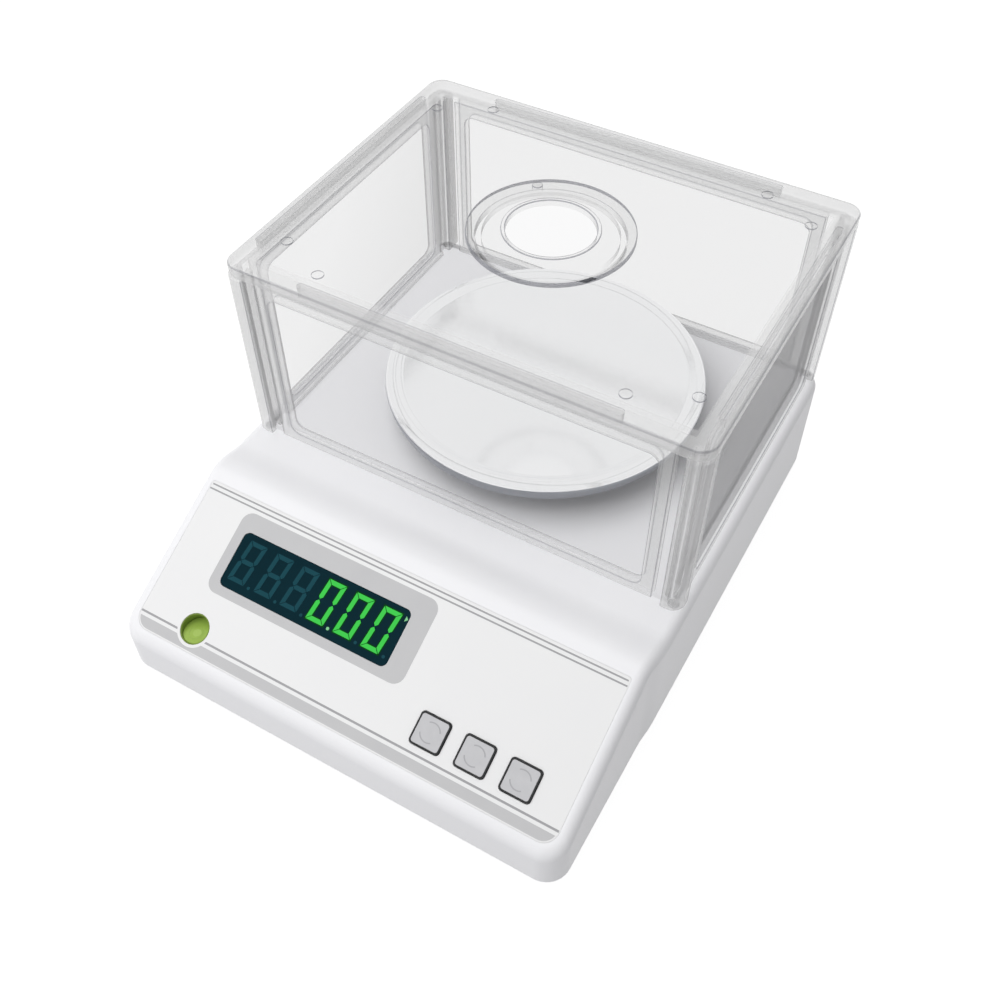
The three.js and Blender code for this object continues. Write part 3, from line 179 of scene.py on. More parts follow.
def blended(
    tree: bpy.types.NodeTree, share: bpy.types.NodeSocket, first: bpy.types.NodeSocket,
    second: bpy.types.NodeSocket,
) -> bpy.types.NodeSocket:
    """Adds a mix of two shaders.

    Args:
        tree: the node tree that takes it.
        share: the second shader's share.
        first: the shader at a share of 0.
        second: the shader at a share of 1.

    Returns:
        The mixed shader's socket.
    """
    return add_node(tree, "ShaderNodeMixShader", {0: share, 1: first, 2: second}).outputs["Shader"]


@dataclass(frozen=True)
class Finish:
    """A surface whose colour and gloss wander a little and whose grain stands up as a fine bump.

    Attributes:
        name: the material's name.
        colour: its paler sRGB colour.
        shade: its darker sRGB colour.
        roughness: its middle roughness.
        wander: how far the roughness goes up and down.
        cloud_mm: size of the patches in which colour and gloss wander.
        grain_mm: spacing of the grain.
        grain_depth_mm: height of the grain.
        metallic: 1 for a metal.
        ior: index of refraction of what isn't metal.
        coat: weight of a clear layer on top.
    """

    name: str
    colour: str
    shade: str
    roughness: float
    wander: float = 0.05
    cloud_mm: float = 25.0
    grain_mm: float = 0.5
    grain_depth_mm: float = 0.01
    metallic: float = 0.0
    ior: float = 1.5
    coat: float = 0.0

    def build(self) -> bpy.types.Material:
        """Makes the material.

        Returns:
            The finished material.
        """
        material = bpy.data.materials.new(self.name)
        tree = emptied(material)
        place = add_node(tree, "ShaderNodeTexCoord").outputs["Object"]
        shader = add_node(
            tree, "ShaderNodeBsdfPrincipled", {"Metallic": self.metallic, "Coat Weight": self.coat}
        )
        if not self.metallic:
            shader.inputs["IOR"].default_value = self.ior
        self.dress(tree, shader, place)
        add_node(tree, "ShaderNodeOutputMaterial", {"Surface": self.surface(tree, shader)})
        return material

    def dress(self, tree: bpy.types.NodeTree, shader: bpy.types.Node, place: bpy.types.NodeSocket) -> None:
        """Feeds colour, gloss and grain to the shader.

        Args:
            tree: the material's node tree.
            shader: its main shader.
            place: object coordinates, in metres.
        """
        cloud = noise(tree, place, self.cloud_mm, 3.0)
        tint = add_node(
            tree, "ShaderNodeMix", {0: cloud, 6: linear(self.shade), 7: linear(self.colour)}, data_type="RGBA"
        )
        gloss = add_node(
            tree, "ShaderNodeMapRange",
            {"Value": cloud, "To Min": self.roughness - self.wander, "To Max": self.roughness + self.wander},
        )
        bump = add_node(
            tree, "ShaderNodeBump",
            {"Height": self.grain(tree, place), "Distance": self.grain_depth_mm * MM, "Strength": 1.0},
        )
        tree.links.new(tint.outputs[2], shader.inputs["Base Color"])
        tree.links.new(gloss.outputs["Result"], shader.inputs["Roughness"])
        tree.links.new(bump.outputs["Normal"], shader.inputs["Normal"])

    def grain(self, tree: bpy.types.NodeTree, place: bpy.types.NodeSocket) -> bpy.types.NodeSocket:
        """Gives the grain's height.

        Args:
            tree: the material's node tree.
            place: object coordinates, in metres.

        Returns:
            The socket with the height from 0 to 1.
        """
        return noise(tree, place, self.grain_mm, 2.0)

    def surface(self, tree: bpy.types.NodeTree, shader: bpy.types.Node) -> bpy.types.NodeSocket:
        """Gives what goes to the output, which is the shader itself."""
        return shader.outputs["BSDF"]


@dataclass(frozen=True)
class BrushedFinish(Finish):
    """A metal with straight or circling brush lines.

    Attributes:
        centre_mm: middle of the circling lines in x and y, or None for straight ones along x.
        stretch: the coordinates' scale along straight lines.
    """

    centre_mm: Point | None = None
    stretch: float = 0.02

    def grain(self, tree: bpy.types.NodeTree, place: bpy.types.NodeSocket) -> bpy.types.NodeSocket:
        """Gives the height of the brush lines, which are long along the stroke and thin across it.

        Args:
            tree: the material's node tree.
            place: object coordinates, in metres.

        Returns:
            The socket with the height from 0 to 1.
        """
        across = place
        scale = (self.stretch, 1.0, 1.0)
        if self.centre_mm is not None:
            x, y = self.centre_mm
            middle = add_node(
                tree, "ShaderNodeVectorMath", {0: place, 1: (x * MM, y * MM, 0.0)}, operation="SUBTRACT"
            )
            flat = add_node(
                tree, "ShaderNodeVectorMath", {0: middle.outputs[0], 1: (1.0, 1.0, 0.0)}, operation="MULTIPLY"
            )
            reach = add_node(tree, "ShaderNodeVectorMath", {0: flat.outputs[0]}, operation="LENGTH")
            across = add_node(tree, "ShaderNodeCombineXYZ", {"X": reach.outputs["Value"]}).outputs["Vector"]
            scale = (1.0, 1.0, 1.0)
        stretched = add_node(tree, "ShaderNodeMapping", {"Vector": across, "Scale": scale})
        return noise(tree, stretched.outputs["Vector"], self.grain_mm, 2.0)


@dataclass(frozen=True)
class ClearFinish(Finish):
    """A clear plate: what is behind shows through, and a pale body, a painted reflection, shows where seen at
    a slant.

    Attributes:
        light: sRGB colour that light keeps through one face.
        veil: sRGB colour that what is behind keeps through one face.
        least: share of the painted-reflection body in a face seen square on.
        most: share of the painted-reflection body in a face seen edge on.
        blend: how soon the body shows as the face turns away; less is later.
        near: slant from which the body grows.
        far: slant at which it is full.
        image: how strong its image in the pan is.
    """

    light: str = "#FEFEFE"
    veil: str = "#FAFAFA"
    least: float = 0.012
    most: float = 0.9
    blend: float = 0.08
    near: float = 0.1
    far: float = 0.4
    image: float = 0.2

    def surface(self, tree: bpy.types.NodeTree, shader: bpy.types.Node) -> bpy.types.NodeSocket:
        """Mixes the painted-reflection body with what is behind it, and lets the light through.

        Args:
            tree: the material's node tree.
            shader: its main shader.

        Returns:
            The mixed shader's socket.
        """
        path = add_node(tree, "ShaderNodeLightPath")
        slant = add_node(tree, "ShaderNodeLayerWeight", {"Blend": self.blend})
        share = add_node(
            tree, "ShaderNodeMapRange",
            {"Value": slant.outputs["Facing"], "From Min": self.near, "From Max": self.far,
             "To Min": self.least, "To Max": self.most},
        )
        behind = add_node(tree, "ShaderNodeBsdfTransparent", {"Color": linear(self.veil)})
        seen = blended(tree, share.outputs["Result"], behind.outputs["BSDF"], shader.outputs["BSDF"])
        lit = add_node(tree, "ShaderNodeBsdfTransparent", {"Color": linear(self.light)})
        shown = add_node(
            tree, "ShaderNodeMath",
            {0: path.outputs["Is Glossy Ray"], 1: self.image, 2: path.outputs["Is Camera Ray"]},
            operation="MULTIPLY_ADD", use_clamp=True,
        )
        return blended(tree, shown.outputs["Value"], lit.outputs["BSDF"], seen)


@dataclass(frozen=True)
class GlowFinish(Finish):
    """A lit segment, with its own light.

    Attributes:
        light: sRGB colour of its light.
        glow: strength of its light.
    """

    light: str = "#FFFFFF"
    glow: float = 1.0

    def build(self) -> bpy.types.Material:
        """Makes the material and sets its light.

        Returns:
            The finished material.
        """
        material = super().build()
        for node in material.node_tree.nodes:
            if node.type == "BSDF_PRINCIPLED":
                node.inputs["Emission Color"].default_value = linear(self.light)
                node.inputs["Emission Strength"].default_value = self.glow
        return material


@dataclass(frozen=True)
class BoardFinish(Finish):
    """A lacquered circuit board with raised copper tracks.

    Attributes:
        track_mm: spacing of the tracks.
        track_share: their width, as the brick pattern's mortar.
    """

    track_mm: float = 2.54
    track_share: float = 0.08

    def grain(self, tree: bpy.types.NodeTree, place: bpy.types.NodeSocket) -> bpy.types.NodeSocket:
        """Gives the tracks' height as the edges of a brick pattern.

        Args:
            tree: the material's node tree.
            place: object coordinates, in metres.

        Returns:
            The socket with the height from 0 to 1.
        """
        tracks = add_node(
            tree, "ShaderNodeTexBrick",
            {"Vector": place, "Scale": 1 / (self.track_mm * MM), "Mortar Size": self.track_share,
             "Color1": linear("#000000"), "Color2": linear("#000000"), "Mortar": linear("#FFFFFF")},
        )
        return tracks.outputs["Color"]


# The middle of the pan, the shield and the hub, in x and y
PAN_MIDDLE_MM = 45.55
AXIS = (0.0, PAN_MIDDLE_MM)

FINISHES = (
    # Moulded ABS from a finely sparked tool: soft gloss, faint cool cast, grain only seen close up
    Finish("white_abs", "#F0F0F2", "#ECECEF", 0.38, 0.04, 40.0, 0.35, 0.006, coat=0.05),
    # Moulded ABS of the base tray, coarser spark grain, never polished
    Finish("grey_abs", "#C3C4C8", "#B4B5BA", 0.55, 0.06, 30.0, 0.5, 0.012),
    # Velvet polyester film, back printed: even white with a low sheen and a weave too fine to see
    Finish("deck_film", "#EAEAEA", "#E7E7E8", 0.42, 0.04, 35.0, 0.25, 0.003),
    # Grey screen ink under the film's face
    Finish("grey_ink", "#C3C3C4", "#BBBBBD", 0.45, 0.04, 12.0, 0.3, 0.003),
    # Darker grey ink of the thin lines
    Finish("line_ink", "#A4A4A6", "#98989B", 0.45, 0.04, 12.0, 0.3, 0.003),
    # Black screen ink round the keys
    Finish("black_ink", "#191A1C", "#111213", 0.45, 0.05, 6.0, 0.3, 0.003),
    # Cast acrylic tinted deep teal, polished: a hard reflection with faint wiping marks
    Finish("teal_acrylic", "#022831", "#02232C", 0.14, 0.04, 14.0, 2.5, 0.002, ior=1.15),
    # Unlit segments: the diffuser seen through the teal window
    Finish("dim_segment", "#0F4550", "#0C3E48", 0.3, 0.04, 6.0, 0.4, 0.003, ior=1.2),
    # Lit segments: green diodes behind the diffuser, a little brighter at their middles
    GlowFinish("lit_segment", "#1E6E2C", "#185F25", 0.4, 0.04, 5.0, 0.4, 0.003, ior=1.3,
               light="#3FE04C", glow=0.6),
    # Painted glow of the lit segments in the tinted window: a dark green fringe with no light of its own
    Finish("painted_segment_glow", "#02400F", "#02370D", 0.14, 0.04, 14.0, 2.5, 0.002, ior=1.15),
    # Lit point and arrow, washed out to a pale green
    GlowFinish("pale_segment", "#6FB57C", "#5FA56C", 0.4, 0.04, 5.0, 0.4, 0.003, light="#8FDDA0", glow=0.2),
    # Silicone key: matt, light grey, a little dusty
    Finish("key_silicone", "#C9C9CB", "#BBBBBE", 0.55, 0.06, 4.0, 0.25, 0.008),
    # Raised arcs on the keys, worn shinier and darker than the cap
    Finish("key_arc", "#AFAFB2", "#A2A2A5", 0.45, 0.05, 3.0, 0.25, 0.004),
    # Level's cup: yellow-green acrylic with a satin face, a darker olive than the liquid: painted shade for
    # its deep inner wall
    Finish("olive_acrylic", "#8AA147", "#7C933C", 0.35, 0.05, 5.0, 0.3, 0.003, ior=1.49),
    # Level's liquid: dyed alcohol that glows yellow-green where light passes
    Finish("level_liquid", "#A3C05A", "#98B450", 0.2, 0.03, 5.0, 3.0, 0.001, ior=1.36),
    # Bubble: air under the lens, a slightly paler patch
    Finish("level_bubble", "#ADC867", "#A4C05E", 0.2, 0.03, 3.0, 3.0, 0.001, ior=1.36),
    # Level's mark: a thin engraved ring, dark olive from the liquid over it
    Finish("level_engraving", "#97B24F", "#8EA948", 0.35, 0.03, 3.0, 1.0, 0.001),
    # Cast acrylic, flame polished: clear, hard gloss, hair-fine handling marks; its grey body at a slant is
    # painted reflection
    ClearFinish("clear_acrylic", "#B4B4B5", "#AEAEAF", 0.07, 0.02, 60.0, 8.0, 0.002, ior=1.03),
    # The same acrylic where it is thick, in posts, borders and the lid's band: a grey body, painted
    # reflection of the light its thickness throws back
    ClearFinish("thick_acrylic", "#DCDCDC", "#D5D5D5", 0.12, 0.03, 30.0, 6.0, 0.003, ior=1.49,
                light="#FFFFFF", veil="#FDFDFD", least=0.28, most=0.8, blend=0.12, near=0.0, far=1.0),
    # The same acrylic at its rounded edges, painted grey with a darker veil: painted shade for the light the
    # edges turn away, drawn as thin grey lines
    ClearFinish("edge_painted_shade", "#A0A1A5", "#95969A", 0.25, 0.05, 8.0, 0.4, 0.006, ior=1.49,
                light="#FCFCFC", veil="#F2F2F3", least=0.42, most=0.9, blend=0.2, near=0.0, far=1.0),
    # The same acrylic at turned rims and pips: a rougher gloss, and painted shade, darker still, that draws
    # them as dark lines
    ClearFinish("rim_painted_shade", "#84868D", "#787A82", 0.3, 0.05, 8.0, 0.4, 0.008, ior=1.49,
                light="#FAFAFB", veil="#E6E6E9", least=0.5, most=0.9, blend=0.2, near=0.0, far=1.0),
    # The same acrylic where it stands in the case: painted matt opaque white, painted light over the shade in
    # the peg's narrow hole
    Finish("peg_painted_light", "#ECECEE", "#E6E6E9", 0.6, 0.05, 6.0, 0.3, 0.02, ior=1.49),
    # Spun stainless pan, mirror polished, with the faintest circling lines
    BrushedFinish("polished_stainless", "#F8F8F9", "#F3F4F5", 0.13, 0.03, 45.0, 0.6, 0.0008, 1.0,
                  centre_mm=AXIS),
    # The pan's turned-down edge: duller, and a darker blue-grey that is a painted reflection of dark
    # surroundings
    BrushedFinish("skirt_painted_reflection", "#B0B2B7", "#A1A3A9", 0.3, 0.05, 20.0, 0.5, 0.002, 1.0,
                  centre_mm=AXIS),
    # Milled aluminium: straight cutter lines and a soft grey
    BrushedFinish("milled_aluminium", "#BFC1C4", "#AFB1B5", 0.36, 0.06, 12.0, 0.3, 0.004, 1.0),
    # Zinc-plated steel screws: cool, slightly blotched
    Finish("zinc_plate", "#C6C9CD", "#A9ADB3", 0.3, 0.08, 2.0, 0.3, 0.003, 1.0),
    # Nickel-plated contact
    Finish("nickel", "#CFCBC2", "#BAB6AC", 0.25, 0.06, 2.0, 0.3, 0.002, 1.0),
    # Black glass-filled nylon: dull, with a fleck of fibre
    Finish("black_nylon", "#232426", "#18191B", 0.5, 0.08, 3.0, 0.3, 0.01),
    # Nitrile rubber: dull black with dust in its pores
    Finish("black_rubber", "#2B2C2E", "#1F2022", 0.8, 0.06, 4.0, 0.4, 0.02),
    # Solder mask over copper tracks
    BoardFinish("green_board", "#1F6B3C", "#185632", 0.4, 0.05, 9.0, 0.4, 0.03, coat=0.2),
    # Shrink sleeve round the cells: blue, drawn tight, slightly rippled
    Finish("blue_sleeve", "#2F4E86", "#28426F", 0.3, 0.06, 8.0, 3.0, 0.05),
)


# Mesh making, in millimetres


def mesh_of(form: BMesh, name: str) -> bpy.types.Mesh:
    """Turns a form under work into mesh data.

    Args:
        form: the form; it is used up.
        name: the data's name.

    Returns:
        The data.
    """
    mesh = bpy.data.meshes.new(name)
    form.to_mesh(mesh)
    form.free()
    return mesh


def linked(name: str, data: bpy.types.Mesh | bpy.types.Light | bpy.types.Camera) -> bpy.types.Object:
    """Puts data into the scene as an object.

    Args:
        name: the object's name.
        data: its data.

    Returns:
        The object.
    """
    made = bpy.data.objects.new(name, data)
    bpy.context.scene.collection.objects.link(made)
    return made


def edges_where(form: BMesh, test: Callable[[Vector, Vector], bool]) -> list[bmesh.types.BMEdge]:
    """Lists the edges whose two ends pass a test.

    Args:
        form: the mesh.
        test: a function of the two ends' places.

    Returns:
        The edges that pass.
    """
    return [edge for edge in form.edges if test(edge.verts[0].co, edge.verts[1].co)]


def soften(form: BMesh, edges: Iterable[bmesh.types.BMEdge], width: float, steps: int) -> None:
    """Bevels edges to a round profile.

    Args:
        form: the mesh.
        edges: the edges to bevel.
        width: the bevel's width.
        steps: how many segments it has.
    """
    bmesh.ops.bevel(
        form, geom=list(edges), offset=width, offset_type="OFFSET", segments=steps, profile=0.5,
        affect="EDGES", clamp_overlap=True, material=-1,
    )


def is_upright(a: Vector, b: Vector) -> bool:
    """True for an edge that stands along z."""
    return abs(a.x - b.x) < SAME and abs(a.y - b.y) < SAME


def off_axis(point: Vector) -> float:
    """Gives how far a point is from the axis of the pan and the port."""
    return math.hypot(point.x, point.y - PAN_MIDDLE_MM)


def block(size: Place, foot: Place, radius: float = 0.0, edge: float = 0.0, steps: int = 8) -> BMesh:
    """Makes a block with rounded upright corners and softened rims.

    Args:
        size: its width, depth and height.
        foot: the middle of its bottom face.
        radius: its upright corners' radius.
        edge: its rims' bevel.
        steps: segments of each upright corner.

    Returns:
        The new mesh.
    """
    form = bmesh.new()
    bmesh.ops.create_cube(form, size=1.0)
    bmesh.ops.scale(form, vec=size, verts=form.verts)
    bmesh.ops.translate(form, vec=(foot[0], foot[1], foot[2] + size[2] / 2), verts=form.verts)
    if radius > 0:
        soften(form, edges_where(form, is_upright), radius, steps)
    if edge > 0:
        soften(form, rims(form, foot[2], foot[2] + size[2]), edge, steps=3)
    return form


def rims(form: BMesh, *levels: float) -> list[bmesh.types.BMEdge]:
    """Lists the edges that lie flat at one of the given heights and bound a flat face there.

    Args:
        form: the mesh.
        levels: the heights.

    Returns:
        The edges.
    """
    found = []
    for edge in form.edges:
        a, b = (v.co.z for v in edge.verts)
        for level in levels:
            if abs(a - level) < SAME and abs(b - level) < SAME and any(
                abs(face.normal.z) < WALL for face in edge.link_faces
            ):
                found.append(edge)
    return found


def disc(radius: float, height: float, foot: Place, edge: float = 0.0, facets: int = 64) -> BMesh:
    """Makes a round block with softened rims.

    Args:
        radius: its radius.
        height: its height.
        foot: the middle of its bottom face.
        edge: its rims' bevel.
        facets: how many sides it has.

    Returns:
        The new mesh.
    """
    form = bmesh.new()
    bmesh.ops.create_cone(
        form, cap_ends=True, cap_tris=False, segments=facets, radius1=radius, radius2=radius, depth=height
    )
    bmesh.ops.translate(form, vec=(foot[0], foot[1], foot[2] + height / 2), verts=form.verts)
    if edge > 0:
        form.normal_update()
        soften(form, rims(form, foot[2], foot[2] + height), edge, steps=3)
    return form


def spun(outline: Sequence[Point], middle: Point, facets: int = 128) -> BMesh:
    """Turns an outline about an upright axis.

    Args:
        outline: radius and height of each point; an outline off the axis is closed by its last point.
        middle: the axis in x and y.
        facets: how many steps the turn has.

    Returns:
        The new mesh.
    """
    form = bmesh.new()
    verts = [form.verts.new((middle[0] + radius, middle[1], z)) for radius, z in outline]
    for first, second in zip(verts, verts[1:]):
        form.edges.new((first, second))
    if outline[0][0] > 0 and outline[0] != outline[-1]:
        form.edges.new((verts[-1], verts[0]))
    bmesh.ops.spin(
        form, geom=form.verts[:] + form.edges[:], cent=(middle[0], middle[1], 0.0), axis=(0.0, 0.0, 1.0),
        dvec=(0.0, 0.0, 0.0), angle=2 * math.pi, steps=facets, use_merge=True,
    )
    bmesh.ops.remove_doubles(form, verts=form.verts, dist=SAME)
    bmesh.ops.dissolve_degenerate(form, dist=SAME / 10, edges=form.edges)
    bmesh.ops.recalc_face_normals(form, faces=form.faces)
    return form


def arc(centre: Point, radius: float, start: float, end: float, steps: int) -> list[Point]:
    """Lists points on a round stretch of an outline.

    Args:
        centre: the arc's middle.
        radius: its radius.
        start: its first angle in degrees.
        end: its last angle in degrees.
        steps: how many steps it has.

    Returns:
        The points, both ends included.
    """
    points = []
    for i in range(steps + 1):
        turn = math.radians(start + (end - start) * i / steps)
        points.append((centre[0] + radius * math.cos(turn), centre[1] + radius * math.sin(turn)))
    return points


def prism(outline: Sequence[Point], height: float) -> BMesh:
    """Raises a flat outline along z from 0.

    Args:
        outline: the outline's points, anticlockwise.
        height: how high it is raised.

    Returns:
        The new mesh.
    """
    form = bmesh.new()
    face = form.faces.new([form.verts.new((x, y, 0.0)) for x, y in outline])
    raised = bmesh.ops.extrude_face_region(form, geom=[face])
    moved = [item for item in raised["geom"] if isinstance(item, bmesh.types.BMVert)]
    bmesh.ops.translate(form, vec=(0.0, 0.0, height), verts=moved)
    bmesh.ops.recalc_face_normals(form, faces=form.faces)
    return form


def sliced(form: BMesh, place: Sequence[float], normal: Place, clear: bool = False) -> list[object]:
    """Divides a mesh along a plane.

    Args:
        form: the mesh.
        place: a point of the plane.
        normal: the plane's normal.
        clear: whether what lies beyond the plane goes.

    Returns:
        The corners and edges on the plane.
    """
    return bmesh.ops.bisect_plane(
        form, geom=form.verts[:] + form.edges[:] + form.faces[:], plane_co=place, plane_no=normal, dist=SAME,
        clear_outer=clear,
    )["geom_cut"]


def combined(base: BMesh, others: Iterable[BMesh], how: Solid) -> BMesh:
    """Joins solids to a base or cuts them from it.

    Args:
        base: the solid that is changed; it is used up.
        others: the other solids; they are used up.
        how: join or cut.

    Returns:
        The new solid.
    """
    holder = temporary(base)
    helpers = [temporary(other) for other in others]
    for helper in helpers:
        step = holder.modifiers.new("combine", "BOOLEAN")
        step.object = helper
        step.operation = how.value
        step.solver = "EXACT"
    seen = holder.evaluated_get(bpy.context.evaluated_depsgraph_get())
    result = bmesh.new()
    mesh = bpy.data.meshes.new_from_object(seen)
    result.from_mesh(mesh)
    bpy.data.meshes.remove(mesh)
    for used in [holder, *helpers]:
        data = used.data
        bpy.data.objects.remove(used)
        bpy.data.meshes.remove(data)
    bmesh.ops.remove_doubles(result, verts=result.verts, dist=SAME)
    return result


def temporary(form: BMesh) -> bpy.types.Object:
    """Puts a mesh into a short-lived object.

    Args:
        form: the mesh; it is used up.

    Returns:
        The object, linked to the scene.
    """
    bmesh.ops.recalc_face_normals(form, faces=form.faces)
    return linked("temporary", mesh_of(form, "temporary"))


def placed(form: BMesh, matrix: Matrix) -> BMesh:
    """Moves a mesh by a matrix and gives it back."""
    bmesh.ops.transform(form, matrix=matrix, verts=form.verts)
    return form


def quarter_turn(axis: str, way: int = 1) -> Matrix:
    """Gives the matrix of a quarter turn about an axis, forwards for a way of 1 and back for -1."""
    return Matrix.Rotation(math.radians(90 * way), 4, axis)


def merged(forms: Iterable[BMesh]) -> BMesh:
    """Puts several separate meshes into one.

    Args:
        forms: the meshes; they are used up.

    Returns:
        One mesh that holds them all.
    """
    result = bmesh.new()
    for form in forms:
        mesh = mesh_of(form, "part")
        result.from_mesh(mesh)
        bpy.data.meshes.remove(mesh)
    return result


@dataclass
class Assembly:
    """A group of pieces that take their looks from the same finishes.

    Attributes:
        finishes: the materials by name.
    """

    finishes: dict[str, bpy.types.Material]

    def piece(
        self, form: BMesh, name: str, body: str, slot: str, finish: str, replaces: Sequence[str] = (),
        crease: float = 35.0,
    ) -> bpy.types.Object:
        """Hands a finished mesh over to the frame.

        Args:
            form: the mesh in millimetres; it is used up.
            name: the piece's name.
            body: the body that it moves with.
            slot: the record's slot; not used.
            finish: its finish.
            replaces: the solids that it stands for.
            crease: edges sharper than this many degrees stay sharp.

        Returns:
            The new object.
        """
        bmesh.ops.recalc_face_normals(form, faces=form.faces)
        bmesh.ops.scale(form, vec=(MM, MM, MM), verts=form.verts)
        mesh = mesh_of(form, name)
        mesh.polygons.foreach_set("use_smooth", [True] * len(mesh.polygons))
        mesh.set_sharp_from_angle(angle=math.radians(crease))
        mesh.materials.append(self.finishes[finish])
        made = linked(name, mesh)
        weighted = made.modifiers.new("even_shading", "WEIGHTED_NORMAL")
        weighted.keep_sharp = True
        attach(made, body)
        if replaces:
            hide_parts(*replaces)
        LOG.info("piece %s on %s, %d faces", name, body, len(mesh.polygons))
        return made

    def repaint(self, made: bpy.types.Object, finish: str, test: Callable[[Vector, Vector], bool]) -> None:
        """Gives some faces of a piece another finish.

        Args:
            made: the piece.
            finish: the other finish.
            test: a function of a face's middle, in millimetres, and its normal.
        """
        mesh = made.data
        mesh.materials.append(self.finishes[finish])
        for face in mesh.polygons:
            if test(face.center / MM, face.normal):
                face.material_index = len(mesh.materials) - 1


# The case


@dataclass(frozen=True)
class DeckPlane:
    """The sloping deck: x across, s down the slope from the film's top edge, n out of the deck.

    Attributes:
        slope: its angle in degrees.
        film: the film's thickness.
        line: from the film's top edge down to the upper double line's zero.
    """

    slope: float = 26.0
    film: float = 0.5
    line: float = 1.73

    def matrix(self) -> Matrix:
        """Works out where the deck lies.

        Returns:
            The matrix from the deck's frame, with y up the slope, to the scale's.
        """
        _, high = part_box("deck_overlay")
        turn = math.radians(self.slope)
        origin = Vector((0.0, high[1] / MM - self.film * math.sin(turn), high[2] / MM))
        return Matrix.Translation(origin) @ Matrix.Rotation(turn, 4, "X")


